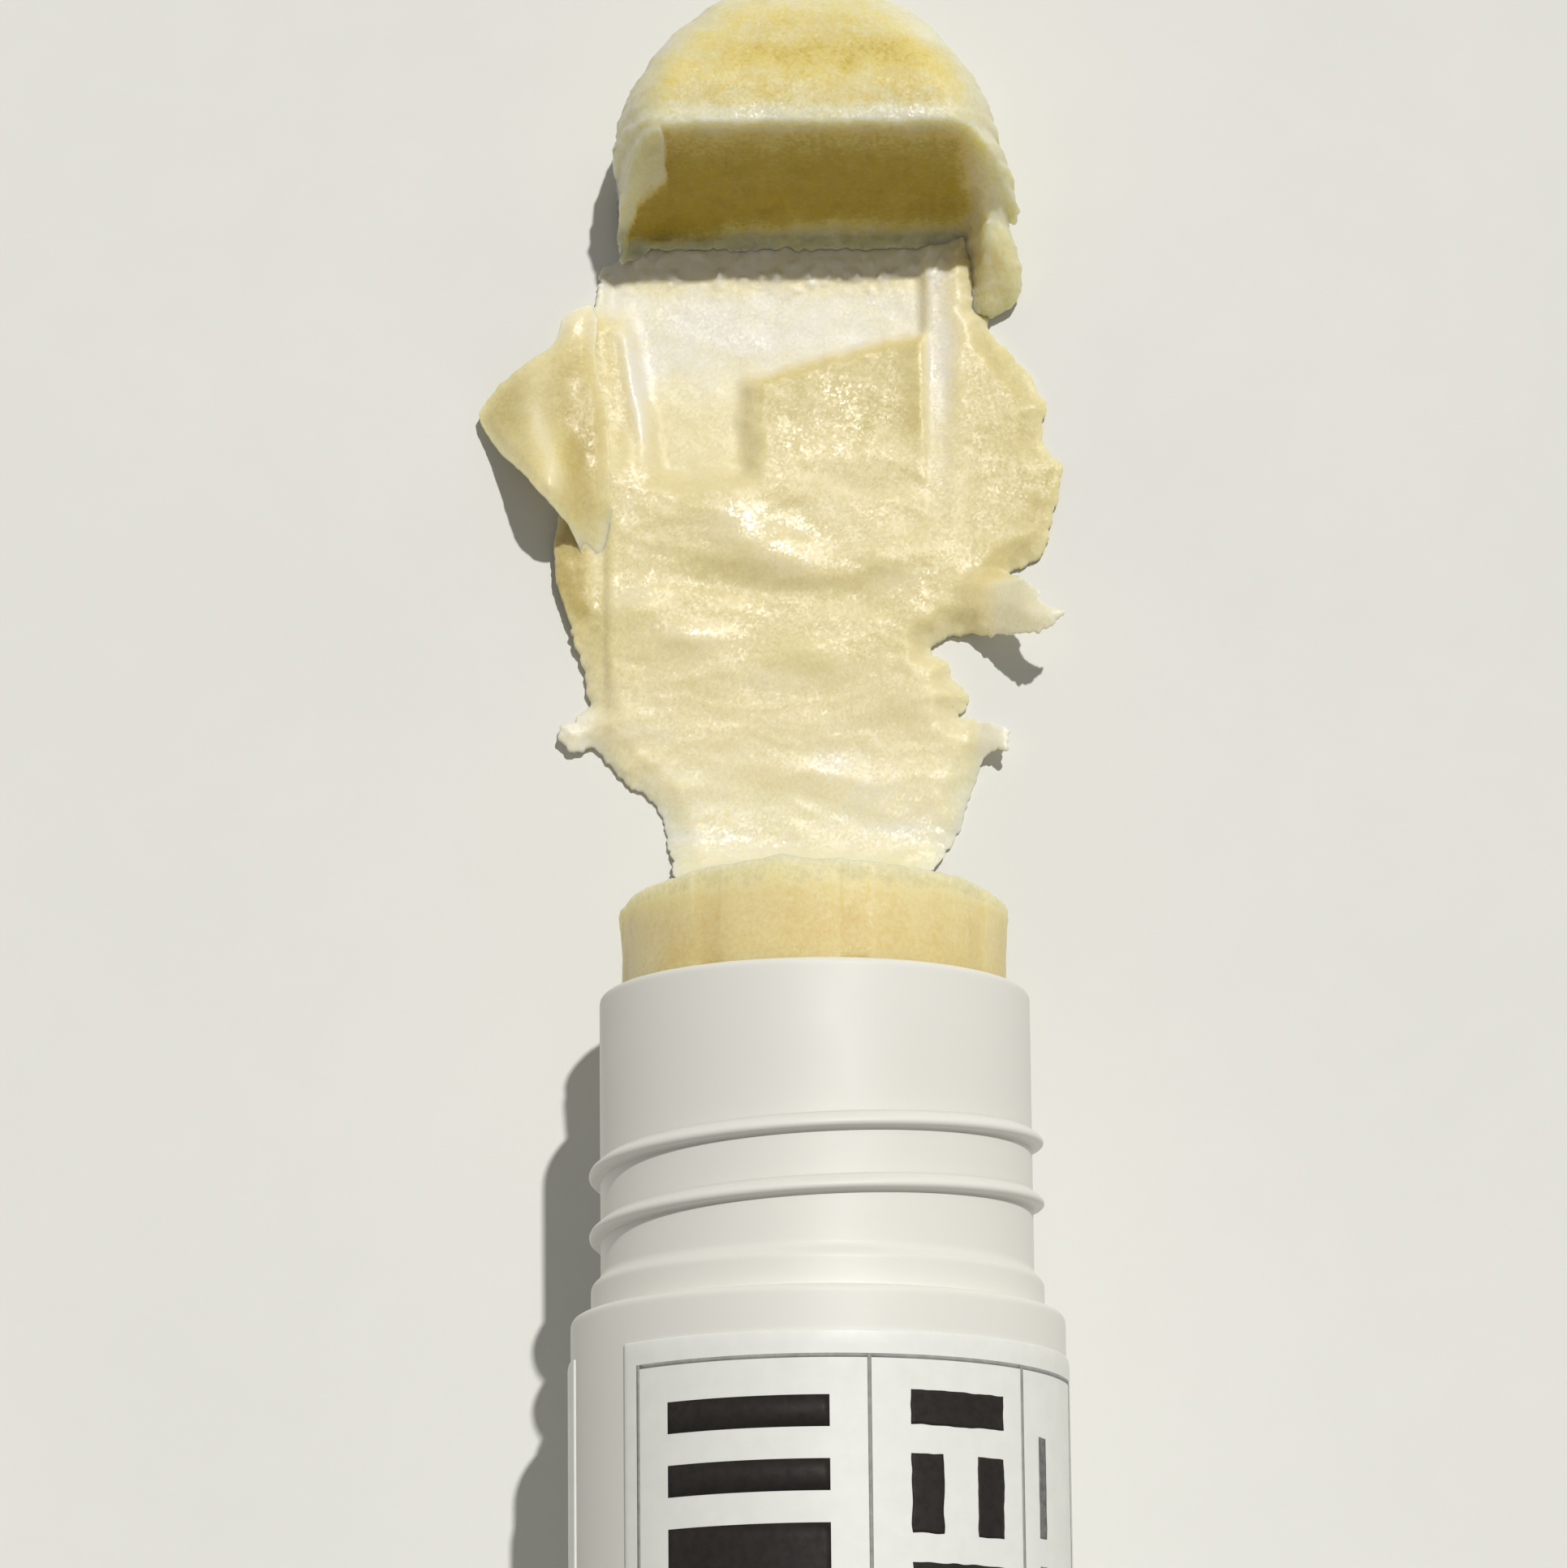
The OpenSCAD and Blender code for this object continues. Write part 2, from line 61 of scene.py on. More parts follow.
SLIDE_R, CUP_TOP, STUB_FOOT, STUB_END = 6.32, 60.4, 56.6, 66.0


# Noise

def lattice(seed, size=64):
    """Random unit gradients on a square lattice."""
    angles = np.random.RandomState(seed).uniform(0, 2 * math.pi, (size, size))
    return np.cos(angles), np.sin(angles)


def perlin(x, y, seed):
    gx, gy = lattice(seed)
    n = gx.shape[0]
    xi, yi = np.floor(x).astype(int), np.floor(y).astype(int)
    fx, fy = x - xi, y - yi

    def corner(dx, dy):
        a, b = (xi + dx) % n, (yi + dy) % n
        return gx[a, b] * (fx - dx) + gy[a, b] * (fy - dy)

    u, v = fx ** 3 * (fx * (6 * fx - 15) + 10), fy ** 3 * (fy * (6 * fy - 15) + 10)
    low, high = mix(corner(0, 0), corner(1, 0), u), mix(corner(0, 1), corner(1, 1), u)
    return 1.4 * mix(low, high, v)


def fbm(x, y, size, octaves, seed):
    """Noise of about -1 to 1 whose largest blobs are size across."""
    total, weight = 0, 0
    for k in range(octaves):
        total = total + perlin(x / size * 2 ** k + 17.3 * k, y / size * 2 ** k - 9.1 * k, seed + k) * 0.5 ** k
        weight += 0.5 ** k
    return total / weight


def smooth(a, b, v):
    t = np.clip((v - a) / (b - a), 0, 1)
    return t * t * (3 - 2 * t)


def mix(a, b, share):
    return a * (1 - share) + b * share


def bump(v, centre, width):
    return np.exp(-((v - centre) / width) ** 2)


# Mesh building

def add_piece(name, verts, faces, attributes, materials, face_materials):
    mesh = bpy.data.meshes.new(name)
    points = [tuple(v) for v in np.asarray(verts, float) * MM]
    mesh.from_pydata(points, [], [tuple(int(i) for i in f) for f in faces])
    mesh.update()
    for key, values in attributes:
        layer = mesh.attributes.new(key, "FLOAT", "POINT")
        layer.data.foreach_set("value", np.asarray(values, np.float32))
    mesh.polygons.foreach_set("use_smooth", [True] * len(mesh.polygons))
    for m in materials:
        mesh.materials.append(m)
    if face_materials is not None:
        mesh.polygons.foreach_set("material_index", [int(i) for i in face_materials])
    obj = bpy.data.objects.new(name, mesh)
    bpy.context.scene.collection.objects.link(obj)
    return obj


def polar(radius, angle, height):
    """Point of the laid tube from the standing tube's radius, angle in degrees and height."""
    a = np.radians(angle)
    return np.stack([radius * np.cos(a), height + 0 * a, -radius * np.sin(a)], -1)


def grid_faces(rows, cols, close_rows=False, close_cols=False):
    faces = []
    for i in range(rows if close_rows else rows - 1):
        for j in range(cols if close_cols else cols - 1):
            a, b = i * cols + j, i * cols + (j + 1) % cols
            c, d = ((i + 1) % rows) * cols + (j + 1) % cols, ((i + 1) % rows) * cols + j
            faces.append((a, b, c, d))
    return faces


class Build:
    """Collects the shells of one piece."""

    def __init__(self):
        self.verts, self.faces, self.kinds, self.tone = [], [], [], []

    def add(self, verts, faces, kind=0, tone=None):
        start = len(self.verts)
        verts = np.asarray(verts, float).reshape(-1, 3)
        self.verts.extend(verts)
        self.faces.extend(tuple(start + i for i in f) for f in faces)
        self.kinds.extend([kind] * len(faces))
        self.tone.extend([0] * len(verts) if tone is None else list(np.asarray(tone, float).ravel()))

    def ring_surface(self, radius, angle, height, closed_profile=True, tone=None):
        """Surface with a profile's points as rows and angles as columns."""
        radius = np.broadcast_to(radius, (len(height), len(angle)))
        pts = polar(radius, angle[None, :], height[:, None] if height.ndim == 1 else height)
        rows, cols = pts.shape[:2]
        self.add(pts.reshape(-1, 3), grid_faces(rows, cols, closed_profile, True), tone=tone)

    def slab(self, outer, inner, kind=0):
        """Closed shell between two grids of points."""
        rows, cols = outer.shape[:2]
        n = rows * cols
        faces = grid_faces(rows, cols)
        faces += [tuple(n + i for i in reversed(f)) for f in grid_faces(rows, cols)]
        rim = list(range(cols)) + [i * cols + cols - 1 for i in range(1, rows)]
        rim += [(rows - 1) * cols + j for j in range(cols - 2, -1, -1)] + [i * cols for i in range(rows - 2, 0, -1)]
        faces += [(b, a, n + a, n + b) for a, b in zip(rim, rim[1:] + rim[:1])]
        pts = np.concatenate([outer.reshape(-1, 3), inner.reshape(-1, 3)])
        self.add(pts, faces, kind)

    def helix(self, profile, pitch, start, sweep, height, step, taper):
        """Ridge wound round the tube, like the source's helix_ridge."""
        count = int(math.ceil(sweep / step))
        a = np.arange(count + 1) * sweep / count
        s = np.clip(np.minimum(a / taper, (sweep - a) / taper), 0.04, 1)
        s = np.sqrt(1 - (1 - s) ** 2)
        r = profile[0][0] + (np.array([p[0] for p in profile])[None, :] - profile[0][0]) * s[:, None]
        h = height + pitch * a[:, None] / 360 + np.array([p[1] for p in profile])[None, :] * s[:, None]
        pts = polar(r, start + a[:, None], h)
        cols = len(profile)
        faces = grid_faces(count + 1, cols, False, True)
        faces += [tuple(range(cols - 1, -1, -1)), tuple(count * cols + j for j in range(cols))]
        self.add(pts.reshape(-1, 3), faces)

    def piece(self, name, materials):
        obj = add_piece(name, self.verts, self.faces, [("tone", self.tone)], materials, self.kinds)
        outward(obj)
        return obj


def outward(obj):
    """Turns every shell's faces outwards."""
    bm = bmesh.new()
    bm.from_mesh(obj.data)
    bmesh.ops.recalc_face_normals(bm, faces=bm.faces)
    bm.to_mesh(obj.data)
    bm.free()


def fillet(points, radius, steps=4):
    """Profile with every corner rounded: each point is (r, h) or (r, h, own radius)."""
    out, n = [], len(points)
    for i in range(n):
        p = np.array(points[i][:2], float)
        a, b = np.array(points[i - 1][:2], float) - p, np.array(points[(i + 1) % n][:2], float) - p
        la, lb = np.linalg.norm(a), np.linalg.norm(b)
        r = points[i][2] if len(points[i]) > 2 else radius
        cut = min(r, 0.45 * la, 0.45 * lb)
        if cut < 1e-3:
            out.append(tuple(p))
            continue
        pa, pb = p + a / la * cut, p + b / lb * cut
        for t in np.linspace(0, 1, steps + 1):
            out.append(tuple((1 - t) ** 2 * pa + 2 * t * (1 - t) * p + t ** 2 * pb))
    return out


def dense(profile, longest):
    """Profile with its long stretches split."""
    out, n = [], len(profile)
    for i in range(n):
        p, q = np.array(profile[i]), np.array(profile[(i + 1) % n])
        parts = max(1, int(math.ceil(np.linalg.norm(q - p) / longest)))
        out.extend(tuple(p + (q - p) * k / parts) for k in range(parts))
    return np.array(out)


# Materials

class Nodes:
    """One procedural material."""

    def __init__(self, name):
        self.material = bpy.data.materials.new(name)
        self.material.use_nodes = True
        self.tree = self.material.node_tree
        self.shader = self.tree.nodes["Principled BSDF"]
        self.place = self.add("ShaderNodeTexCoord").outputs["Object"]

    def feed(self, socket, value):
        """Sets a socket to a constant, or links another node's output to it."""
        if isinstance(value, bpy.types.NodeSocket):
            self.tree.links.new(value, socket)
        else:
            socket.default_value = value

    def fill(self, node, inputs):
        for key, value in inputs.items():
            self.feed(node.inputs[key.replace("_", " ")], value)
        return node

    def add(self, kind, **inputs):
        return self.fill(self.tree.nodes.new(kind), inputs)

    def set(self, **inputs):
        self.fill(self.shader, inputs)

    def noise(self, scale, detail=3.0, rough=0.55, stretch=None, distortion=0.0):
        place = self.place
        if stretch:
            place = self.add("ShaderNodeMapping", Scale=stretch, Vector=place).outputs["Vector"]
        return self.add("ShaderNodeTexNoise", Scale=scale, Detail=detail, Roughness=rough, Distortion=distortion,
                        Vector=place).outputs["Fac"]

    def cells(self, scale):
        return self.add("ShaderNodeTexVoronoi", Scale=scale, Vector=self.place).outputs["Color"]

    def attribute(self, name):
        node = self.add("ShaderNodeAttribute")
        node.attribute_name = name
        return node.outputs["Fac"]

    def maths(self, operation, a, b, clamp=False):
        node = self.add("ShaderNodeMath")
        node.operation, node.use_clamp = operation, clamp
        self.feed(node.inputs[0], a)
        self.feed(node.inputs[1], b)
        return node.outputs[0]

    def vector(self, operation, a, b=None, second=1):
        node = self.add("ShaderNodeVectorMath")
        node.operation = operation
        self.feed(node.inputs[0], a)
        if b is not None:
            self.feed(node.inputs[second], b)
        return node.outputs[0]

    def spread(self, value, low, high):
        """Maps a noise value, mostly 0.3 to 0.7, to low to high."""
        return self.add("ShaderNodeMapRange", From_Min=0.3, From_Max=0.7, To_Min=low, To_Max=high,
                        Value=value).outputs["Result"]

    def ramp(self, value, stops):
        node = self.add("ShaderNodeValToRGB", Fac=value)
        points = node.color_ramp.elements
        while len(points) < len(stops):
            points.new(0.5)
        for point, (at, colour) in zip(points, stops):
            point.position = at
            point.color = (*colour, 1)
        return node.outputs["Color"]

    def mottle(self, scale, detail, low, high):
        """Base colour that wanders between two colours."""
        self.set(Base_Color=self.ramp(self.spread(self.noise(scale, detail), 0, 1), [(0, low), (1, high)]))

    def matte(self, scale, detail, low, high):
        self.set(Roughness=self.spread(self.noise(scale, detail), low, high))

    def relief(self, layers, facets=None):
        """Bump of (height, strength, distance in mm) layers, then grains of (scale, tilt) that glint."""
        before = {}
        for height, strength, distance in layers:
            node = self.add("ShaderNodeBump", Strength=strength, Distance=distance * MM, Height=height, **before)
            before = {"Normal": node.outputs["Normal"]}
        normal = before["Normal"]
        if facets:
            scale, tilt = facets
            grains = self.vector("SUBTRACT", self.cells(scale), (0.5, 0.5, 0.5))
            tilted = self.vector("ADD", normal, self.vector("SCALE", grains, tilt, "Scale"))
            normal = self.vector("NORMALIZE", tilted)
        self.set(Normal=normal)


def plastic(name, low, high, roughness=(0.46, 0.56)):
    n = Nodes(name)
    n.mottle(60, 4, low, high)
    n.matte(400, 3, *roughness)
    n.relief([(n.noise(70, 2), 0.3, 0.03), (n.noise(9000, 2, stretch=(1, 0.35, 1)), 0.14, 0.004)])
    n.set(Subsurface_Weight=0.12, Subsurface_Radius=(1, 0.95, 0.85), Subsurface_Scale=0.0006, IOR=1.47)
    return n.material


def paper():
    n = Nodes("coated_paper")
    n.mottle(1500, 4, (0.76, 0.772, 0.73), (0.805, 0.815, 0.775))
    n.matte(900, 3, 0.42, 0.55)
    n.relief([(n.noise(400, 3), 0.2, 0.02), (n.noise(6000, 3), 0.25, 0.006)])
    n.set(IOR=1.45)
    return n.material


def ink(name, low, high):
    n = Nodes(name)
    n.mottle(3500, 4, low, high)
    n.matte(2500, 2, 0.55, 0.7)
    n.relief([(n.noise(5000, 3), 0.2, 0.004)])
    n.set(Specular_IOR_Level=0.25)
    return n.material


def balm(name, stops, sss=0.75, depth=0.0004, radius=(1.0, 0.82, 0.45), rough=(0.34, 0.54), grain=0.24,
         crinkle=0.12, gloss=0.5, cloud=0.07, speckle=0.10):
    """Balm coloured along the stops by the mesh's tone, glossier where its sheen is high and painted paler there as
    a highlight.
    """
    n = Nodes(name)
    mottle = n.spread(n.noise(420, 5, 0.6, distortion=0.4), -cloud, cloud)
    fine = n.spread(n.noise(5600, 4, 0.7), -speckle, speckle)
    # Painted highlight: the colour is made paler where the sheen is high.
    painted_highlight = n.maths("MULTIPLY", n.attribute("sheen"), -0.22)
    value = n.maths("ADD", n.maths("ADD", n.maths("ADD", n.attribute("tone"), painted_highlight), mottle), fine, clamp=True)
    n.set(Base_Color=n.ramp(value, stops))
    sheen = n.maths("MULTIPLY", n.attribute("sheen"), -0.15)
    n.set(Roughness=n.maths("ADD", n.spread(n.noise(700, 4, 0.6), *rough), sheen))
    n.relief([(n.noise(800, 3, 0.5), 0.25, 0.05), (n.noise(3000, 4, 0.65), crinkle, 0.03)], (11500, grain))
    n.set(Subsurface_Weight=sss, Subsurface_Radius=radius, Subsurface_Scale=depth)
    n.set(IOR=1.46, Specular_IOR_Level=gloss)
    return n.material


# Colours of the balm from tone 0, pale, to tone 1, deep
CRUSHED = [(0.0, (0.82, 0.785, 0.685)), (0.3, (0.805, 0.735, 0.50)), (0.55, (0.75, 0.665, 0.38)),
           (0.8, (0.66, 0.57, 0.28)), (1.0, (0.56, 0.46, 0.18))]
# THICK's deepest stops are the painted shade of the nose's notch wall.
THICK = [(0.0, (0.78, 0.75, 0.57)), (0.3, (0.71, 0.655, 0.39)), (0.6, (0.68, 0.56, 0.175)),
         (0.8, (0.52, 0.39, 0.06)), (1.0, (0.45, 0.315, 0.012))]
GOLD = [(0.0, (0.63, 0.575, 0.37)), (0.4, (0.82, 0.72, 0.42)), (0.75, (0.76, 0.64, 0.31)),
        (1.0, (0.73, 0.57, 0.24))]

white = plastic("white_plastic", (0.735, 0.728, 0.675), (0.775, 0.765, 0.71))
dial_white = plastic("dial_plastic", (0.73, 0.725, 0.68), (0.77, 0.765, 0.72), (0.42, 0.55))
label_white = paper()
ink_black = ink("ink_black", (0.006, 0.005, 0.004), (0.016, 0.012, 0.009))
ink_rule = ink("ink_rule", (0.26, 0.265, 0.25), (0.36, 0.36, 0.34))
ink_grey = ink("ink_grey", (0.10, 0.10, 0.10), (0.2, 0.2, 0.195))
balm_crushed = balm("balm_crushed", CRUSHED, depth=0.0006, grain=0.17, crinkle=0.07)
balm_film = balm("balm_film", CRUSHED, sss=0.3, rough=(0.40, 0.54), grain=0.12, crinkle=0.06)
balm_thick = balm("balm_thick", THICK, sss=1.0, depth=0.0019, radius=(1.0, 0.86, 0.32), rough=(0.40, 0.58),
                  grain=0.28, crinkle=0.16, gloss=0.4, speckle=0.14)
balm_stick = balm("balm_stick", GOLD, sss=1.0, depth=0.0024, radius=(1.0, 0.88, 0.5), rough=(0.42, 0.6),
                  grain=0.20, gloss=0.4, cloud=0.14, speckle=0.2)


# Tube

def make_barrel():
    b = Build()
    outer = [(BORE_R, FOOT_Y, 0.05), (BODY_R, FOOT_Y, 0.2), (BODY_R, SHOULDER_Y, 0.4), (COLLAR_R, SHOULDER_Y, 0.12),
             (COLLAR_R, SHOULDER_Y + 1.05, 0.16), (NECK_R, SHOULDER_Y + 1.32, 0.2), (NECK_R, RIM_Y, 0.3),
             (BORE_R, RIM_Y, 0.12)]
    inner = [(BORE_R, SNAP_Y + SNAP_W / 2 + SNAP_H, 0.05), (BORE_R + SNAP_H, SNAP_Y + SNAP_W / 2, 0.05),
             (BORE_R + SNAP_H, SNAP_Y - SNAP_W / 2, 0.05), (BORE_R, SNAP_Y - SNAP_W / 2 - SNAP_H, 0.05)]
    profile = dense(fillet(outer + inner, 0.1, 6), 3.0)
    angles = np.arange(0, 360, 1.5)
    b.ring_surface(profile[:, :1], angles, profile[:, 1])
    pitch, lead_in, sweep, at_top = 2.0, 150, 660, SHOULDER_Y + 3.25
    crest = [(0.0, 0.33), (0.03, 0.27), (0.12, 0.2), (0.24, 0.13), (0.33, 0.05), (0.37, -0.04), (0.36, -0.12),
             (0.30, -0.18), (0.18, -0.22), (0.05, -0.25), (0.0, -0.31)]
    b.helix([(NECK_R - 0.15, -0.32), (NECK_R - 0.15, 0.34)] + [(NECK_R + r, h) for r, h in crest], pitch,
            TOP - lead_in, sweep, at_top - pitch * lead_in / 360, 2.5, 26)
    for i in range(RIB_N):
        a = RIB_ANGLE + i * 360 / RIB_N
        half = math.degrees(RIB_W / 2 / BORE_R)
        across = a + np.array([-1, -0.86, 0.86, 1]) * half
        lift = np.array([0.12, 0, 0, 0.12]) * RIB_H
        along = np.array([HUB_TOP + 0.3, RIM_Y - 1.05, RIM_Y - 0.9])
        drop = np.array([0, 0, 0.15])
        crest = polar(BORE_R - RIB_H + lift[None, :] + drop[:, None], across[None, :], along[:, None])
        root = polar(BORE_R + 0.2, across[None, :] + 0 * along[:, None], along[:, None])
        b.slab(crest, root)
    return b.piece("barrel_moulding", [white])


def make_label():
    b = Build()
    angles = np.concatenate([[0, 0.25, 0.8], np.linspace(1.6, LABEL_SWEEP - 1.6, 220),
                             LABEL_SWEEP - np.array([0.8, 0.25, 0])])
    heights = np.concatenate([[LABEL_LOW, LABEL_LOW + 0.04, LABEL_LOW + 0.15],
                              np.linspace(LABEL_LOW + 0.5, LABEL_HIGH - 0.5, 60),
                              [LABEL_HIGH - 0.15, LABEL_HIGH - 0.04, LABEL_HIGH]])
    a, h = np.meshgrid(LABEL_FROM + angles, heights)
    round_mm = 0.14  # length of one degree round the label
    edge = np.minimum(np.minimum(h - LABEL_LOW, LABEL_HIGH - h),
                      np.minimum(a - LABEL_FROM, LABEL_FROM + LABEL_SWEEP - a) * round_mm)
    wave = 0.008 * fbm(a * round_mm, h, 6, 2, 21)
    outer = polar(LABEL_R - 0.03 * (1 - smooth(0, 0.12, edge)) + np.minimum(0, wave) * smooth(0, 1, edge), a, h)
    inner = polar(BODY_R - 0.002 + 0 * a, a, h)
    b.slab(outer, inner)
    return b.piece("label_paper", [label_white])


def make_print():
    b = Build()
    degree = 360 / (2 * math.pi * LABEL_R)
    upper = LABEL_HIGH - 0.75

    def mark(across, down, wide, long, kind, wobble=0.0, seed=1):
        """Patch of ink, placed from the middle and from the frame's upper edge."""
        cols = max(2, int(math.ceil(wide / 0.25)) + 1)
        rows = max(2, int(math.ceil(long / 0.6)) + 1)
        if wobble:
            rows, cols = max(rows, int(long / 0.12) + 2), max(cols, int(wide / 0.12) + 2)
        u, v = np.meshgrid(np.linspace(0, 1, cols), np.linspace(0, 1, rows))
        x, y = across + wide * u, down + long * v
        if wobble:
            x = x + wobble * fbm(y, 0 * x + np.round(u), 0.7, 2, seed) * np.abs(2 * u - 1)
            y = y + wobble * fbm(x, 9 + np.round(v), 0.7, 2, seed + 5) * np.abs(2 * v - 1)
        outer = polar(LABEL_R + 0.010 + 0 * x, TOP + x * degree, upper - y)
        inner = polar(LABEL_R - 0.04 + 0 * x, TOP + x * degree, upper - y)
        b.slab(outer, inner, kind)

    drop = LABEL_HIGH - LABEL_LOW - 1.5
    line = 0.13
    columns = [-6.4, 1.5, 7.3, 11.4]
    for x in columns:
        mark(x, 0, line, drop, 1)
    for left, right in zip(columns, columns[1:]):
        for y in (0, drop - line):
            mark(left + line, y, right - left - line, line, 1)
    start = 1.3
    for length in (1, 1, 2.2, 1, 2.2, 1, 1, 2.2, 1, 1, 2.2, 1, 1, 2.2, 1, 1):
        mark(-5.1, start, 5.4, length, 0)
        start += length + 1.0
    for i in range(7):
        mark(2.9, 1.1 + i * 5.4, 3.5, 1.1, 0, 0.06, 40 + i)
        mark(5.3, 3.1 + i * 5.4, 1.1, 2.5, 0, 0.06, 60 + i)
        if i < 6:
            mark(2.9, 3.1 + i * 5.4, 1.1, 2.5, 0, 0.06, 80 + i)
    for i in range(9):
        mark(8.3, 2.2 + i * 4.1, 0.45, 3.2 - i % 3 * 0.7, 2, 0.03, 90 + i)
    return b.piece("label_ink", [ink_black, ink_rule, ink_grey])


def make_dial():
    b = Build()
    core, grip = BODY_R - 0.35, 0.25
    body = [(0.0, 0.0, 0), (4.5, 0, 0.08), (4.5, 0.5, 0.15), (5.5, 0.5, 0.15), (5.5, 0, 0.08), (core, 0, 0.5),
            (core, 7.0, 0.4), (HUB_R, 7.0, 0.1), (HUB_R, SNAP_Y - 0.5, 0.05), (HUB_R + 0.25, SNAP_Y - 0.3, 0.1),
            (HUB_R + 0.25, SNAP_Y + 0.3, 0.1), (HUB_R, SNAP_Y + 0.5, 0.05), (HUB_R, HUB_TOP, 0.4),
            (SPINDLE_R, HUB_TOP, 0.2), (SPINDLE_R, SPINDLE_TIP, 0.4), (0, SPINDLE_TIP, 0)]
    profile = dense(fillet(body, 0.1, 4), 0.9)
    profile = profile[profile[:, 0] > 1e-6]
    angles, grips = np.arange(0, 360, 0.9), 40
    phase = (angles * grips / 360) % 1
    phase = np.minimum(phase, 1 - phase)
    ridge = smooth(0.30, 0.17, phase)
    r, h = profile.T
    on_side = smooth(core - 0.02, core, r) * smooth(0.55, 1.0, h) * smooth(6.5, 6.1, h)
    b.ring_surface(r[:, None] + grip * on_side[:, None] * ridge[None, :], angles, h, closed_profile=False)
    rows, cols = len(profile), len(angles)
    caps = [tuple(range(cols)), tuple((rows - 1) * cols + j for j in range(cols))]
    b.faces.extend(caps)
    b.kinds.extend([0, 0])
    thread = [(SPINDLE_R - 0.2, -0.85), (SPINDLE_R - 0.2, 0.85), (SPINDLE_R + 0.5, 0.5), (SPINDLE_R + 0.5, -0.5)]
    b.helix(thread, LEAD, 0, (SPINDLE_TIP - HUB_TOP - 2.2) / LEAD * 360, HUB_TOP + 0.9, 6, 40)
    return b.piece("dial_moulding", [dial_white])


# Balm

def make_stub():
    b = Build()
    angles = np.arange(0, 360, 1.0)
    rad = np.radians(angles)
    off_rib = np.abs((angles - RIB_ANGLE + 180 / RIB_N) % (360 / RIB_N) - 180 / RIB_N) * math.pi / 180 * SLIDE_R
    groove = 0.3 * (1 - smooth(0.38, 0.5, off_rib))
    trace = 0.07 * (1 - smooth(0.15, 0.6, off_rib))
    rows_r, rows_h, tones = [], [], []

    def ring(r, h, tone):
        rows_r.append(r + 0 * angles)
        rows_h.append(h + 0 * angles)
        tones.append(tone + 0 * angles)

    foot_r, hole_r, break_foot = 5.45, 2.1, 65.15
    upper = bump((angles - TOP + 4) / 60, 0, 1.0)
    ragged = 0.12 * fbm(np.cos(rad) * 3 + 5, np.sin(rad) * 3 + 5, 0.9, 4, 5)
    ragged = ragged + 0.07 * fbm(rad * 9, 0 * rad, 0.8, 4, 9)
    crest = STUB_END - 0.24 + 0.54 * upper + 0.16 * bump(angles, TOP - 9, 5) + ragged
    for h in (STUB_FOOT, 58.5, CUP_TOP):
        ring(foot_r, h, 0.8)
    for h in (CUP_TOP, CUP_TOP + 0.6, 61.6, 62.2, 62.6, 62.85):
        ring(SLIDE_R - groove - 0.02, h, 0.95)
    for h in (63.0, 63.2, 63.4, 63.6, 63.8, 64.0, 64.2, 64.4, 64.6, 64.8, 65.0, break_foot):
        wavy = 0.035 * fbm(rad * 4, h + 0 * rad, 1.0, 3, 31)
        mottle = 0.17 * fbm(rad * SLIDE_R, h + 0 * rad, 1.4, 5, 33) + 0.05 * (trace > 0.01)
        mottle = mottle + 0.10 * bump(angles, TOP - 28, 14) * bump(h, 63.6, 0.7)
        # Painted light: paler for angles below TOP - 38, over the left side, which faces away from the sun.
        mottle = mottle - 0.3 * smooth(TOP - 38, TOP - 70, angles)
        paler = 0.18 * smooth(63.4, 65.0, h + 0.5 * fbm(rad * 5, 0 * rad, 1, 3, 16))
        swell = 0.05 * smooth(64.0, 65.2, h)
        ring(SLIDE_R - 0.05 - trace * smooth(65.2, 64.2, h) + wavy + swell, h, 0.80 - paler + mottle)
    lip = [(0.2, -0.02), (0.42, -0.04), (0.62, -0.04), (0.8, -0.015), (0.92, 0.05), (0.98, 0.14), (1.0, 0.28)]
    for k, (t, inset) in enumerate(lip):
        wavy = 0.06 * fbm(rad * 8, k * 0.3 + 0 * rad, 0.6, 4, 12)
        frosted = 0.42 * smooth(0.0, 0.6, t + 0.4 * fbm(rad * 7, 0.1 * k + 0 * rad, 1, 4, 14))
        tone = 0.60 - frosted + 0.08 * fbm(rad * 20, 0.5 * k + 0 * rad, 1, 3, 15)
        ring(SLIDE_R - inset + wavy, break_foot + (crest - break_foot) * t, tone)
    for q in (0.90, 0.84, 0.77, 0.70, 0.62, 0.54, 0.46, 0.39, 0.345):
        r = SLIDE_R * q
        x, y = r * np.cos(rad), r * np.sin(rad)
        rough = 0.3 * fbm(x + 20, y + 20, 2.2, 5, 7)
        fall = STUB_END - 0.42 + rough - 0.25 * (1 - q) + 0.5 * upper * smooth(0.4, 1.0, q)
        ring(r, fall, 0.35 + 0.2 * fbm(x, y, 1.5, 3, 8))
    for h in (STUB_END - 0.95, 60.0, STUB_FOOT):
        ring(hole_r, h, 0.8)
    room = BORE_R - 0.04 - (RIB_H + 0.01) * (1 - smooth(0.42, 0.6, off_rib))
    r, h, tone = np.minimum(np.array(rows_r), room), np.array(rows_h), np.array(tones)
    b.ring_surface(r, angles, h, tone=np.clip(tone, 0, 1))
    return b.piece("stick_stub", [balm_stick])


def resample(outline, spacing):
    pts = np.array(outline, float)
    out = []
    for p, q in zip(pts, np.roll(pts, -1, 0)):
        parts = max(1, int(round(np.linalg.norm(q - p) / spacing)))
        out.extend(p + (q - p) * k / parts for k in range(parts))
    return np.array(out)


def soften(pts):
    return 0.5 * pts + 0.25 * (np.roll(pts, 1, 0) + np.roll(pts, -1, 0))


def normals(pts):
    d = np.roll(pts, -1, 0) - np.roll(pts, 1, 0)
    n = np.stack([d[:, 1], -d[:, 0]], 1)
    return n / np.maximum(np.linalg.norm(n, axis=1, keepdims=True), 1e-9)


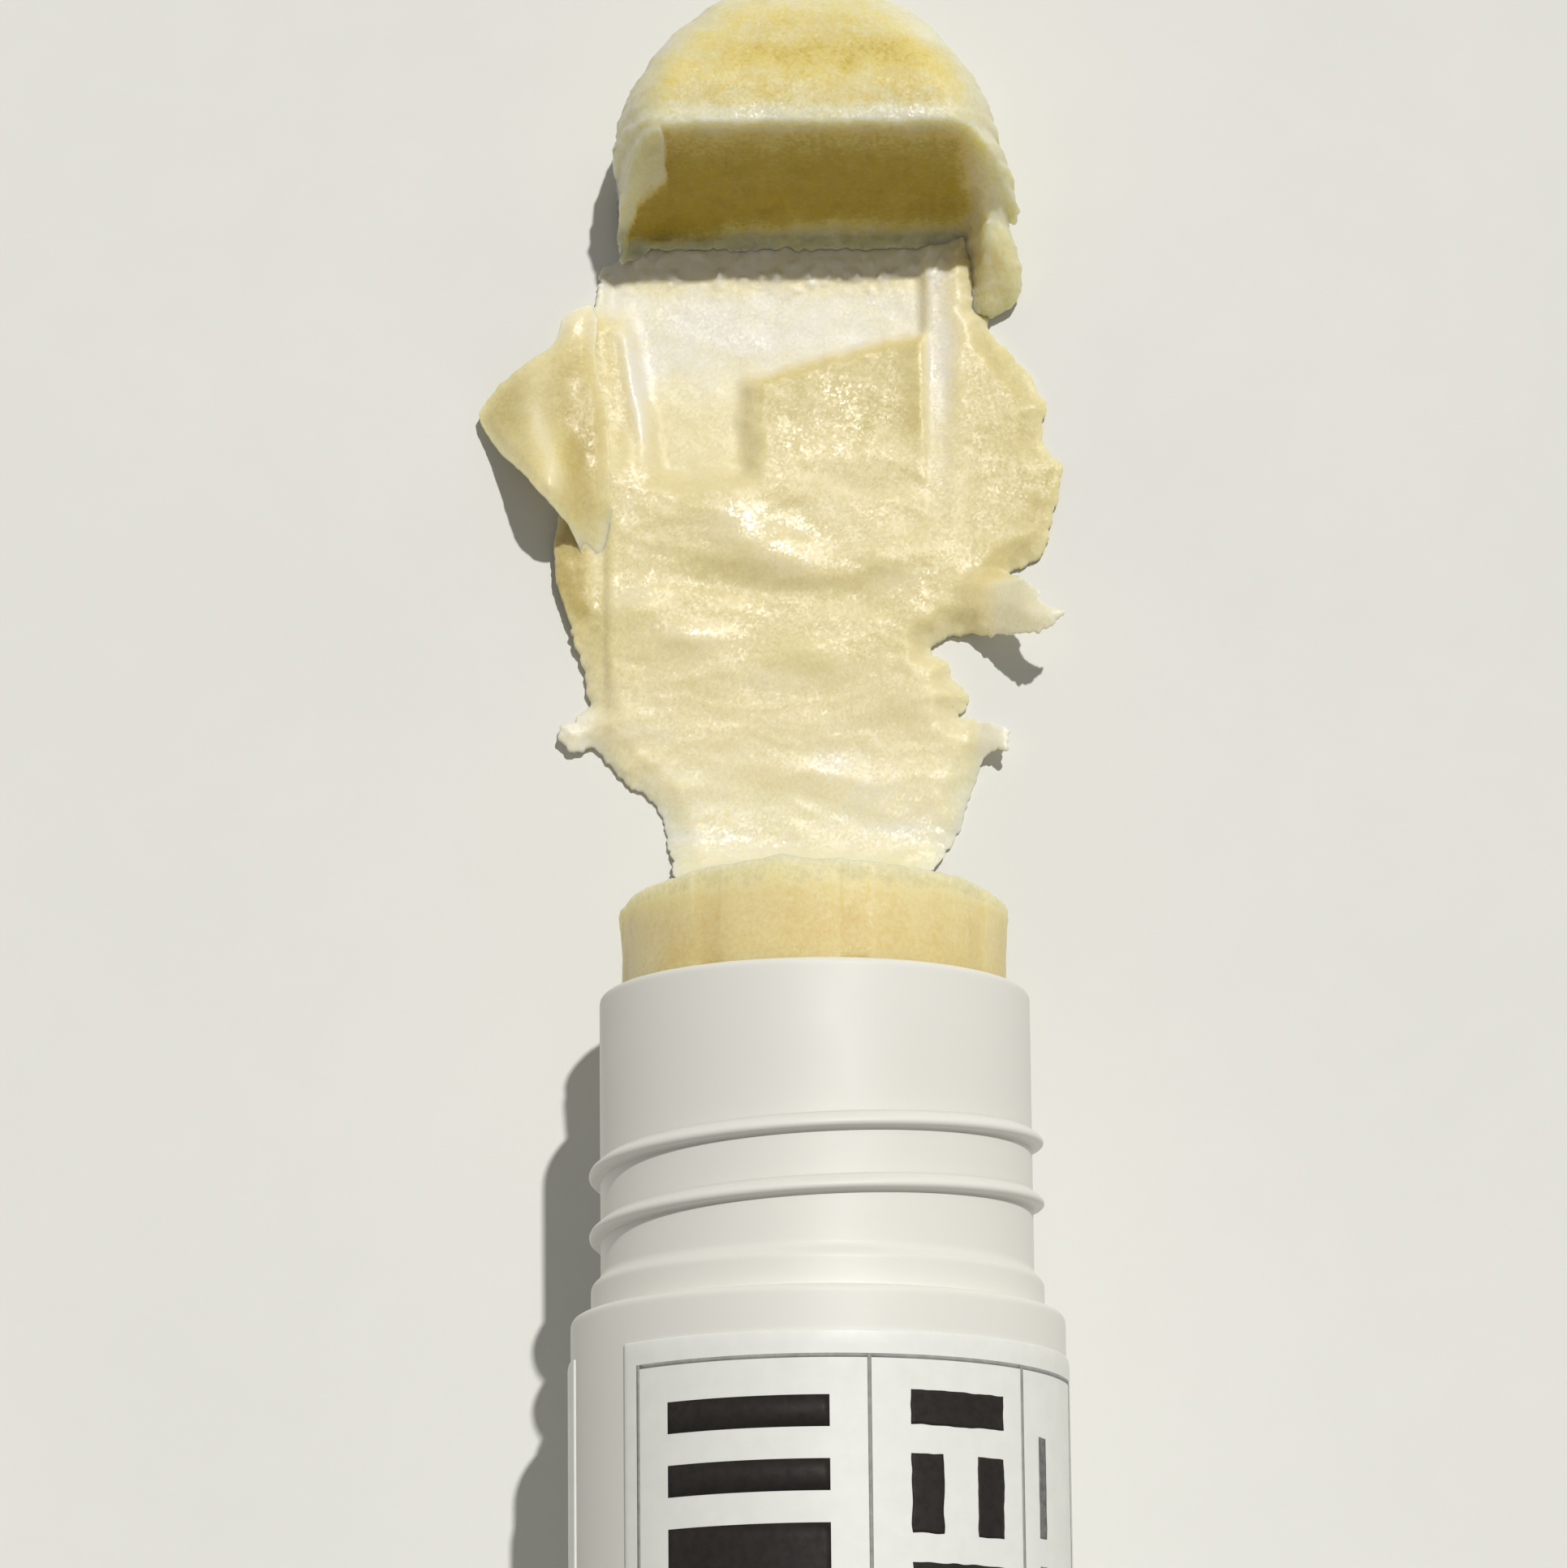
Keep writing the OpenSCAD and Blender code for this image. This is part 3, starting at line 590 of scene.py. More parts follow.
def edge_distance(pts, edge):
    best = np.full(len(pts), 1e9)
    for a, b in zip(edge, np.roll(edge, -1, 0)):
        d = b - a
        t = np.clip(((pts - a) @ d) / max(d @ d, 1e-12), 0, 1)
        away = pts - a - t[:, None] * d
        best = np.minimum(best, (away * away).sum(1))
    return np.sqrt(best)


def inside(pts, edge):
    hit = np.zeros(len(pts), bool)
    for (ax, ay), (bx, by) in zip(edge, np.roll(edge, -1, 0)):
        if ay == by:
            continue
        level = (ay > pts[:, 1]) != (by > pts[:, 1])
        hit ^= level & (pts[:, 0] < (bx - ax) * (pts[:, 1] - ay) / (by - ay) + ax)
    return hit


def area(pts):
    return 0.5 * np.sum(pts[:, 0] * np.roll(pts[:, 1], -1) - np.roll(pts[:, 0], -1) * pts[:, 1])


def plan_piece(name, outline, spacing, shape, materials, rings, ragged, seed, closest=None, kind=None, warp=None):
    """Piece over a plan outline.

    The shape is functions for top, bottom and tone, of x, y and the distance to the edge, and one for sheen,
    of x and y. The rings are distances from the edge for rows of points.
    """
    top, bottom, tone, sheen = shape
    edge = resample(outline, 0.07)
    if area(edge) < 0:
        edge = edge[::-1]
    edge = soften(soften(edge))
    n = normals(edge)
    along = np.cumsum(np.linalg.norm(np.roll(edge, -1, 0) - edge, axis=1))
    amount = ragged(edge[:, 0], edge[:, 1]) if callable(ragged) else ragged
    wobble = fbm(edge[:, 0] + 31, edge[:, 1] + 7, 0.5, 4, seed) + 0.4 * fbm(along, 0 * along, 0.35, 3, seed + 3)
    wobble = wobble + 0.9 * np.abs(fbm(edge[:, 0] * 1.1 - 5, edge[:, 1] * 1.1, 0.33, 2, seed + 7)) - 0.25
    edge = edge + n * (amount * wobble)[:, None]
    n = normals(edge)
    (x0, y0), (x1, y1) = edge.min(0), edge.max(0)
    xs = np.arange(x0, x1, spacing)
    ys = np.arange(y0, y1, spacing * 0.866)
    gx, gy = np.meshgrid(xs, ys)
    gx = gx + (np.arange(len(ys)) % 2)[:, None] * spacing / 2
    cloud = np.stack([gx.ravel(), gy.ravel()], 1)
    cloud = cloud[inside(cloud, edge)]
    cloud = cloud[edge_distance(cloud, edge) > rings[-1] + 0.45 * spacing]
    extra = []
    for r in rings:
        inner = edge - n * r
        inner = inner[inside(inner, edge)]
        extra.append(inner[edge_distance(inner, edge) > 0.9 * r])
    pts = np.concatenate([edge, *extra, cloud])
    if closest is not None:
        more = closest()
        more = more[inside(more, edge)]
        pts = np.concatenate([pts, more[edge_distance(more, edge) > 0.05]])
    count = len(edge)
    loop = [(i, (i + 1) % count) for i in range(count)]
    made = delaunay_2d_cdt([Vector(p) for p in pts], loop, [list(range(count))], 1, 1e-5)
    verts = np.array([tuple(v) for v in made[0]])
    faces = np.array([f for f in made[2] if len(f) == 3])
    used = np.unique(faces)
    remap = -np.ones(len(verts), int)
    remap[used] = np.arange(len(used))
    verts, faces = verts[used], remap[faces]
    away = edge_distance(verts, edge)
    x, y = verts[:, 0], verts[:, 1]
    z_top, z_low = top(x, y, away), bottom(x, y, away)
    z_top = np.maximum(z_top, z_low + 0.02)
    shade = np.clip(tone(x, y, away), 0, 1)
    m = len(verts)
    sides = {}
    for f in faces:
        for pair in ((f[0], f[1]), (f[1], f[2]), (f[2], f[0])):
            sides[pair] = True
    rim = [(a, b) for a, b in sides if (b, a) not in sides]
    all_faces = [tuple(f) for f in faces] + [(f[2] + m, f[1] + m, f[0] + m) for f in faces]
    all_faces += [(b, a, a + m, b + m) for a, b in rim]
    all_verts = np.concatenate([np.column_stack([x, y, z_top]), np.column_stack([x, y, z_low])])
    if warp:
        all_verts = warp(all_verts)
    kinds = None
    if kind is not None:
        middles = verts[faces].mean(1)
        own = kind(middles[:, 0], middles[:, 1]).astype(int)
        kinds = np.concatenate([own, own, np.zeros(len(rim), int)])
    gloss = np.clip(sheen(x, y), 0, 1)
    attributes = [("tone", np.concatenate([shade, shade])), ("sheen", np.concatenate([gloss, gloss]))]
    return add_piece(name, all_verts, all_faces, attributes, materials, kinds)


def rounded(away, width):
    """0 at the edge to 1 at width from it, as a quarter circle."""
    t = np.clip(away / width, 0, 1)
    return np.sqrt(np.maximum(0, 1 - (1 - t) ** 2))


SHEET = [
    (-3.7, 66.35), (-3.95, 67.2), (-4.61, 68.2), (-4.81, 69.5), (-5.01, 70.5), (-5.37, 71.3), (-6.2, 71.8),
    (-6.96, 72.7), (-7.45, 73.2), (-7.9, 73.0), (-8.31, 73.1), (-8.61, 73.44), (-8.62, 73.75), (-8.42, 73.98),
    (-8.0, 74.1), (-7.55, 74.6), (-7.6, 75.5), (-8.03, 76.8), (-8.5, 78.5), (-8.66, 79.0), (-8.71, 80.2),
    (-8.6, 80.9), (-8.4, 82), (-8.3, 83.4), (-8.5, 85), (-8.7, 86.4), (-8.5, 87.6), (-8.35, 88.0),
    (-7.6, 88.35), (-7.3, 88.75), (-7.05, 90.2), (-6.45, 90.5), (-6.3, 91.3), (6.0, 91.3), (6.1, 89.6),
    (6.15, 88.5), (6.3, 87.8), (6.6, 87.35), (7.07, 86.92), (7.6, 86.3), (7.86, 85.87), (7.95, 85.5),
    (8.25, 85.09), (8.2, 84.7), (8.0, 84.37), (8.1, 83.8), (8.35, 83.3), (8.77, 82.92), (8.7, 82.4),
    (8.61, 81.92), (8.45, 81.3), (8.32, 80.8), (8.2, 80.2), (7.96, 79.75), (7.5, 79.45), (7.18, 79.33),
    (6.85, 79.1), (7.03, 78.81), (7.5, 78.3), (7.75, 77.75), (8.1, 77.3), (8.66, 77.22), (8.6, 77.0),
    (8.2, 76.6), (7.6, 76.5), (6.98, 76.62), (6.2, 76.8), (5.52, 77.03), (4.68, 76.9), (4.2, 76.6), (4.2, 76.3),
    (4.67, 76.1), (4.83, 75.4), (5.41, 74.97), (5.40, 74.5), (5.06, 74.15), (5.61, 74.01), (6.1, 73.75),
    (6.71, 73.55), (6.72, 73.1), (6.65, 72.79), (6.2, 72.8), (5.96, 72.67), (5.66, 72.1), (5.46, 71.5),
    (5.2, 70.7), (4.99, 70.1), (4.42, 69.15), (3.8, 68.5), (3.45, 67.4), (3.3, 66.35),
]
TRACK_RIGHT = 4.0


def film_share(x, y):
    """1 where the film is bare, 0 in the thick balm."""
    left_start = 82.6 + 0.4 * fbm(x, y, 1.8, 4, 51)
    patch_start = 86.15 + 0.27 * (x + 1.7) + 0.28 * fbm(x, y, 1.1, 4, 52)
    beside = smooth(-2.45, -1.45, x + 0.3 * fbm(y, x, 1.2, 3, 53))
    share = mix(smooth(-0.8, 0.5, y - left_start), smooth(-0.35, 0.3, y - patch_start), beside)
    edge = -5.3 - 0.17 * (y - 82.5) + 0.2 * fbm(y, x, 1.3, 3, 54)
    left = smooth(edge - 0.9, edge + 0.7, x)
    left = np.maximum(left, smooth(87.6, 89.0, y + 0.3 * fbm(x, y, 1, 3, 55)) * smooth(-7.3, -6.6, x))
    right = 1 - smooth(TRACK_RIGHT - 0.15, TRACK_RIGHT + 0.3, x)
    return share * left * right


def groove_share(x, y):
    """1 in the pressed groove to the right of the track."""
    across = smooth(3.9, 4.25, x) * (1 - smooth(4.6, 5.5, x + 0.25 * fbm(x, y, 1.2, 3, 59)))
    return across * smooth(80.0, 87.0, y) * 0.95


def sheet_lift(x, y):
    """How far the sheet has curled up off the ground."""
    tongue = 1.75 * (1 - smooth(66.3, 70.4, y)) ** 1.3
    flake = 2.75 * smooth(4.8, 8.5, x) * smooth(79.3, 78.4, y) * smooth(75.6, 76.3, y)
    spur = 0.85 * smooth(5.2, 6.7, x) * smooth(74.3, 73.9, y) * smooth(71.8, 72.5, y)
    left_spur = 0.25 * smooth(-7.0, -8.5, x) * smooth(74.6, 74.0, y) * smooth(71.6, 72.6, y)
    side = 0.3 * smooth(-7.0, -8.6, x) * smooth(75, 77.5, y) * smooth(82.5, 80.5, y)
    right_side = 0.22 * smooth(6.8, 8.6, x) * smooth(79.2, 80.4, y) * smooth(86.8, 85, y)
    return tongue + flake + spur + left_spur + side + right_side


def sheet_thick(x, y, away):
    film, groove = film_share(x, y), groove_share(x, y)
    grow = smooth(68.5, 77.5, y)
    wx, wy = x + 1.3 * fbm(x, y, 5, 2, 60), y + 0.9 * fbm(x, y, 4, 2, 61)
    middle = (0.35 + 0.65 * smooth(68.5, 72, y)) * smooth(84, 82, y) * smooth(-7, -6.3, x) * smooth(5.2, 4.2, x)
    broad = 0.16 * fbm(wx * 0.5, wy * 1.2, 2.6, 2, 62)
    crease = 0.03 * (1 - np.clip(np.abs(fbm(wx * 0.4, wy * 1.5, 2.2, 2, 67)) * 5, 0, 1))
    crest = (0.30 * bump(y, 80.0 - 0.35 * (x + 1.5), 1.0) * bump(x, -1.6, 1.9)
             + 0.18 * bump(y, 78.2 + 0.05 * x, 0.5) * bump(x, -5.7, 1.0)
             + 0.13 * bump(y, 76.85, 0.45) * bump(x, -4.1, 1.3)
             + 0.12 * bump(y, 76.2, 0.5) * bump(x, 0.1, 1.2)
             + 0.16 * bump(y, 79.6, 0.6) * bump(x, 2.9, 1.3)
             - 0.13 * bump(y, 78.4 - 0.12 * x, 0.6) * smooth(-5, -2.5, x) * smooth(4.0, 1.8, x))
    ripple = 0.03 * fbm(x, y * 1.7, 1.3, 3, 63) + 0.008 * fbm(x, y, 0.4, 2, 68)
    ripple = ripple + 0.05 * fbm(x * 0.5, y * 1.6, 0.9, 3, 69) * smooth(71.5, 69.5, y)
    patch = 0.05 * fbm(x, y, 1.1, 4, 64) * smooth(82.6, 84, y) * smooth(-1.9, -1.4, x) * smooth(4.1, 3.7, x)
    patch = patch - 0.18 * smooth(-2.3, -1.0, x) * smooth(83, 84.5, y) * smooth(4.5, 2.8, x)
    right = smooth(4.9, 5.6, x) * smooth(76.8, 78.5, y)
    thick = 0.30 + 0.56 * grow + (broad + crease) * middle + crest + patch
    thick = thick + ripple * (1 - 0.5 * right) - 0.06 * right
    thick = thick * (1 - 0.30 * smooth(-5.0, -6.0, x) * smooth(82.5, 85.0, y)) * (1 - 0.38 * smooth(5.6, 8.2, x))
    thick = thick * (1 - 0.25 * smooth(4.2, 5.4, x) * smooth(77.5, 76.0, y))
    valley = 0.18 * bump(x, -6.5, 0.35) * smooth(82.0, 84.5, y) * smooth(88.4, 87.4, y)
    ridge = bump(x, -6.0 + 0.17 * (86.1 - y), 0.24) * smooth(82.0, 84.4, y) * smooth(88.3, 87.3, y)
    low_left = smooth(-6.78, -6.95, x) * smooth(74.5, 76, y) * smooth(81.6, 80.6, y)
    thick = thick - 0.5 * valley - 0.17 * low_left
    flake = smooth(5.4, 6.4, x) * smooth(79.2, 78.6, y)
    thick = mix(thick, 0.45, flake)
    groove_t = 0.60 + 0.05 * fbm(x * 1.3, y * 0.5, 0.6, 3, 65)
    thick = mix(thick, groove_t, groove)
    streak = 0.05 * fbm(x * 0.8 + 0.5 * y, y - 0.4 * x, 1.6, 3, 66)
    film_t = 0.17 + streak + 0.08 * smooth(89.3, 90.3, y) + 0.16 * smooth(86.4, 83.0, y)
    crumbs = np.clip(fbm(x, y, 0.4, 3, 77) - 0.10, 0, 1) * smooth(89.0, 90.0, y + 0.5 * fbm(x, y, 1.5, 2, 78))
    thick = mix(thick, film_t, film) + 0.17 * ridge + 0.6 * crumbs
    edge = 0.34 + 0.12 * smooth(74.0, 76.0, y) * smooth(0, -2, x)
    inward = (away + 0.35 * fbm(x, y, 0.9, 4, 79) * smooth(0, 0.3, away)) / 0.9
    return thick * (edge + (1 - edge) * np.clip(inward, 0, 1) ** 0.8)


def sheet_top(x, y, away):
    return GROUND + 0.01 + sheet_lift(x, y) + np.maximum(sheet_thick(x, y, away), 0.05)


def sheet_bottom(x, y, away):
    return GROUND + 0.005 + sheet_lift(x, y) * smooth(0.0, 0.2, sheet_lift(x, y))


def sheet_tone(x, y, away):
    film, groove = film_share(x, y), groove_share(x, y)
    value = 0.26 + 0.31 * smooth(69.5, 78.0, y) + 0.10 * fbm(x, y * 1.4, 2.5, 4, 71)
    # Painted shade: deeper colour along the fold's trough near y 78.7, from x about -4 to the right.
    value = value + 0.12 * bump(y, 78.7 - 0.1 * x, 0.8) * smooth(-5, -3, x)
    right = smooth(5.2, 6.0, x) * smooth(77, 79, y)
    value = mix(value, 0.77 + 0.10 * fbm(x, y, 2, 4, 72), right)
    flake = smooth(5.6, 6.6, x) * smooth(79.0, 78.4, y)
    value = mix(value, 0.14, flake)
    strip = smooth(-6.8, -7.1, x) * smooth(75.0, 78.0, y) * smooth(88, 86, y)
    deeper = 0.20 + 0.45 * smooth(-7.3, -8.0, x) * smooth(76.0, 78.5, y)
    value = value + (deeper - 0.25 * bump(x, -7.25, 0.35) * smooth(78.0, 80.0, y)) * strip
    value = mix(value, 0.06 + 0.08 * fbm(x * 1.5, y * 0.6, 0.7, 3, 73), groove)
    value = value - 0.25 * smooth(87.0, 88.5, y) * smooth(5.0, 5.6, x)
    film_value = 0.10 + 0.40 * smooth(87.3, 84.4, y + 0.5 * fbm(x, y, 1.8, 3, 70)) + 0.08 * fbm(x, y, 0.9, 4, 74)
    # Painted shadow: a deeper band on the film just past the edge of the nose's cast shadow, drawing that shadow
    # longer.
    film_value = film_value + 0.25 * smooth(88.9, 89.6, y + 0.5 * fbm(x, y, 1.6, 4, 58)) * smooth(89.95, 89.65, y)
    crumbs = smooth(0.06, 0.2, fbm(x, y, 0.4, 3, 77)) * smooth(89.0, 90.0, y + 0.5 * fbm(x, y, 1.5, 2, 78))
    film_value = film_value * (1 - 0.9 * crumbs)
    value = value + 0.20 * smooth(-2.0, -1.2, x) * smooth(83, 84.5, y) * smooth(4.1, 3.8, x)
    value = mix(value, film_value, film)
    value = value * (1 - 0.7 * smooth(87.6, 89.2, y) * smooth(-6.0, -7.0, x))
    spurs = smooth(71.6, 72.4, y) * smooth(74.8, 74.2, y) * np.maximum(smooth(-6.8, -7.8, x), smooth(5.2, 6.0, x))
    # Painted highlight: paler along the fold ridge beside the flap.
    ridge = 0.3 * bump(x, -6.0 + 0.17 * (86.1 - y), 0.25) * smooth(82.5, 84.4, y) * smooth(88.3, 87.3, y)
    value = value * (1 - 0.75 * spurs) - ridge
    return value * (0.72 + 0.28 * smooth(0.0, 0.5, away + 0.3 * fbm(x, y, 0.8, 3, 57)))


# Places that glint: x, y, half width, half height and amount
GLINTS = [
    (-1.3, 80.3, 1.3, 0.7, 1.0), (-2.6, 81.1, 0.8, 0.4, 0.8), (-0.5, 79.3, 1.0, 0.4, 0.9),
    (-6.0, 78.3, 0.8, 0.35, 1.0), (-4.0, 76.95, 1.2, 0.3, 0.9), (-1.1, 75.3, 0.9, 0.5, 0.8),
    (0.8, 72.5, 0.6, 0.4, 0.9), (2.0, 71.5, 0.7, 0.3, 0.7), (3.1, 70.2, 0.9, 0.25, 0.9),
    (3.2, 78.7, 0.8, 0.5, 0.8), (1.7, 78.6, 1.0, 0.3, 0.6), (-6.2, 81.6, 0.4, 0.9, 0.9),
    (-5.6, 73.6, 0.9, 0.3, 0.7), (-3.5, 70.0, 1.5, 0.25, 0.6), (0.0, 84.5, 1.2, 0.8, 0.7),
    (1.4, 85.4, 1.0, 0.5, 0.7), (-3.4, 88.2, 0.9, 0.4, 0.8), (-2.0, 87.5, 0.8, 0.3, 0.8),
    (-5.7, 85.5, 0.35, 1.4, 1.0), (5.2, 86.9, 0.5, 0.6, 0.5),
]


def sheet_sheen(x, y):
    total = 0.25 * smooth(0.1, 0.6, fbm(x, y * 1.6, 1.6, 3, 75))
    for cx, cy, wide, high, amount in GLINTS:
        total = total + amount * bump(x, cx, 1.25 * wide) * bump(y, cy, 1.3 * high)
    return total * (1.0 + 0.7 * fbm(x, y * 1.5, 0.8, 4, 76))


def sheet_ragged(x, y):
    calm = smooth(-8.2, -8.6, x) * smooth(75, 76.5, y)
    torn = 0.15 - 0.09 * calm + 0.07 * smooth(5.6, 6.4, x) * smooth(80, 79.2, y)
    return torn + 0.05 * smooth(-7.2, -7.8, x) * smooth(75, 74.4, y)


FLAP = [
    (-11.27, 84.92), (-11.22, 84.6), (-11.07, 84.28), (-10.6, 83.5), (-9.97, 82.65), (-9.5, 82.0),
    (-9.05, 81.4), (-8.59, 80.95), (-8.2, 80.65), (-7.9, 80.2), (-7.7, 79.6), (-7.3, 78.9), (-6.95, 78.7),
    (-6.75, 79.2), (-6.74, 81.0), (-6.76, 83.1), (-6.82, 84.9), (-7.1, 85.9), (-7.25, 87.0), (-7.15, 88.1),
    (-7.39, 88.64), (-7.8, 88.55), (-8.41, 88.13), (-8.5, 87.6), (-8.77, 87.09), (-9.4, 86.75), (-10.0, 86.26),
    (-10.5, 85.95), (-10.93, 85.43),
]


def flap_mid(x, y):
    """Height of the flap's middle surface over the ground."""
    near_fold = 1.26 - 0.42 * smooth(85.5, 88.2, y) - 0.72 * smooth(82.8, 79.4, y)
    lower = smooth(-7.5, -8.8, x) * smooth(84.6, 81.2, y)
    upper = smooth(-7.6, -9.4, x) * smooth(81.5, 84.5, y)
    mid = near_fold + 1.75 * lower - 0.1 * upper
    mid = mid * (1 - 0.55 * smooth(-9.2, -11.2, x))
    return mid + 0.11 * bump(x, -8.3, 0.8) * smooth(81, 83, y)


def flap_top(x, y, away):
    half = (0.26 + 0.07 * fbm(x, y, 1.6, 4, 81)) * (0.25 + 0.75 * smooth(0, 0.5, away))
    return GROUND + flap_mid(x, y) + half * (1 - 0.45 * smooth(81.5, 79.5, y))


def flap_bottom(x, y, away):
    half = 0.28 * (0.25 + 0.75 * smooth(0, 0.5, away))
    return np.maximum(GROUND + 0.02, GROUND + flap_mid(x, y) - half)


def flap_tone(x, y, away):
    value = 0.80 + 0.16 * fbm(x, y, 1.6, 5, 82) + 0.06 * smooth(-9.6, -11.0, x)
    value = value + 0.22 * bump(x, -7.8, 0.55) * smooth(81, 83, y) * smooth(88, 86.5, y)
    streak = bump(x + 0.1 * fbm(x, y, 0.8, 3, 83), -8.75 - 0.25 * (y - 82.6), 0.35)
    streak = streak * smooth(81.0, 82.0, y) * smooth(86.2, 84.4, y)
    value = value - 0.38 * streak - 0.42 * smooth(86.2, 88.4, y + 0.5 * fbm(x, y, 1.2, 3, 84))
    value = value - 0.3 * smooth(81.6, 80.0, y)
    return value * (0.7 + 0.3 * smooth(0, 0.6, away))


def flap_sheen(x, y):
    spots = bump(x, -9.0, 0.35) * bump(y, 86.0, 0.5) + bump(x, -8.0, 0.3) * bump(y, 85.5, 0.35)
    return (0.25 * smooth(0.1, 0.5, fbm(x, y, 1.2, 3, 85)) + spots) * (1.0 + 0.7 * fbm(x, y, 0.6, 4, 86))


NOSE = [
    (-6.35, 90.2), (-6.5, 91.0), (-6.45, 91.7), (-6.52, 93.36), (-6.4, 94.3), (-6.06, 95.25), (-5.53, 96.12),
    (-4.57, 97.34), (-3.28, 98.47), (-2.30, 98.90), (-1.0, 99.07), (0.30, 99.1), (1.6, 99.0), (2.70, 98.73),
    (3.67, 98.28), (4.72, 97.36), (5.67, 96.0), (6.30, 95.0), (6.59, 93.98), (6.8, 93.0), (7.0, 92.5),
    (7.25, 92.2), (7.32, 91.6), (7.25, 91.33), (6.95, 91.26), (7.19, 90.7), (7.46, 89.64), (7.49, 89.15),
    (7.18, 88.57), (6.43, 88.2), (6.02, 88.27), (5.5, 88.62), (5.1, 89.2), (5.0, 89.9), (5.05, 90.5),
    (5.1, 90.72), (-5.3, 90.72), (-5.9, 90.4),
]
NOTCH_LEFT, NOTCH_RIGHT = -4.72, 5.95
WALL_TOP, WALL_FOOT = 93.02, 91.12


def soft_least(a, b, reach):
    """The smaller of two heights, rounded where they meet."""
    near = np.maximum(reach - np.abs(a - b), 0) / reach
    return np.minimum(a, b) - near * near * reach / 4


def nose_full(x, y, away):
    """Height of the whole nose over the ground, away from the notch."""
    crown = 7.48 - 1.55 * smooth(94.4, 99.2, y) - 0.22 * bump(x, 0.6, 3.6) * bump(y, 95.8, 1.0)
    crown = crown + 0.10 * fbm(x, y, 1.7, 5, 91) + 0.03 * fbm(x, y, 0.45, 3, 85)
    return 2.6 + (crown - 2.6) * rounded(away, 1.8)


def wall_height(x, y):
    wall = np.clip((y - WALL_FOOT + 0.05 * fbm(x, y, 1.2, 3, 92)) / (WALL_TOP - WALL_FOOT), -0.3, 1.3)
    frost = (0.16 * fbm(x, y, 0.45, 3, 79) + 0.10 * fbm(x, y, 1.3, 3, 56)) * bump(y, 91.15, 0.4)
    steep = 1 - np.maximum(1 - np.maximum(wall, 0), 0) ** 1.25 + 1.6 * np.maximum(wall - 0.97, 0)
    return 0.26 + 0.12 * smooth(90.7, 91.2, y) + 3.4 * (steep + np.sqrt(steep * steep + 0.004)) + frost


def leg_front(x):
    """Front edge of the left leg, on the wall."""
    return np.interp(x, [-6.7, -6.36, -6.11, -5.67, -4.82], [89.9, 90.45, 91.2, 91.65, 91.97])


def nose_top(x, y, away):
    full = nose_full(x, y, away)
    wall = wall_height(x, y)
    proud = smooth(-0.12, 0.12, y - leg_front(x) + 0.12 * fbm(x, y, 0.6, 3, 96))
    left_leg = np.minimum(wall, full) + (0.5 + 0.16 * fbm(x, y, 0.8, 4, 97)) * proud
    left_leg = np.minimum(left_leg, 0.6 + (full - 0.6) * rounded(away, 1.1))
    right_leg = 1.2 + 1.9 * smooth(88.4, 91.2, y) + 4.3 * smooth(91.0, 93.1, y)
    inner = smooth(4.9, 6.3, x + 0.2 * fbm(x, y, 0.9, 4, 86))
    right_leg = right_leg * (0.45 + 0.55 * rounded(away, 0.9))
    right_leg = right_leg * (0.35 + 0.65 * np.maximum(inner, smooth(91.0, 92.2, y)))
    right_leg = right_leg + 0.30 * fbm(x, y, 1.1, 5, 98) + 0.12 * fbm(x, y, 0.45, 3, 84)
    right_leg = right_leg + 2.0 * smooth(92.9, 93.3, y)
    in_left = smooth(NOTCH_LEFT + 0.04, NOTCH_LEFT - 0.10, x + 0.08 * fbm(x, y, 0.5, 3, 99))
    in_right = smooth(NOTCH_RIGHT - 0.35, NOTCH_RIGHT + 0.3, x + 0.3 * fbm(x, y, 0.8, 4, 90))
    low = wall * (1 - in_left) * (1 - in_right) + left_leg * in_left + right_leg * in_right
    behind = smooth(WALL_TOP - 0.02, WALL_TOP + 0.3, y)
    return GROUND + np.maximum(mix(soft_least(full, low, 0.6), full, behind), 0.3)


def nose_bottom(x, y, away):
    tuck = 1 - rounded(away, 1.3)
    top = nose_top(x, y, away) - GROUND
    reach = np.minimum(2.6, 0.8 * top)
    open_side = smooth(91.9, 91.3, y) * smooth(NOTCH_LEFT - 0.3, NOTCH_LEFT, x)
    open_side = open_side * smooth(NOTCH_RIGHT + 0.7, NOTCH_RIGHT + 0.2, x)
    return GROUND + 0.015 + reach * tuck * (1 - open_side)


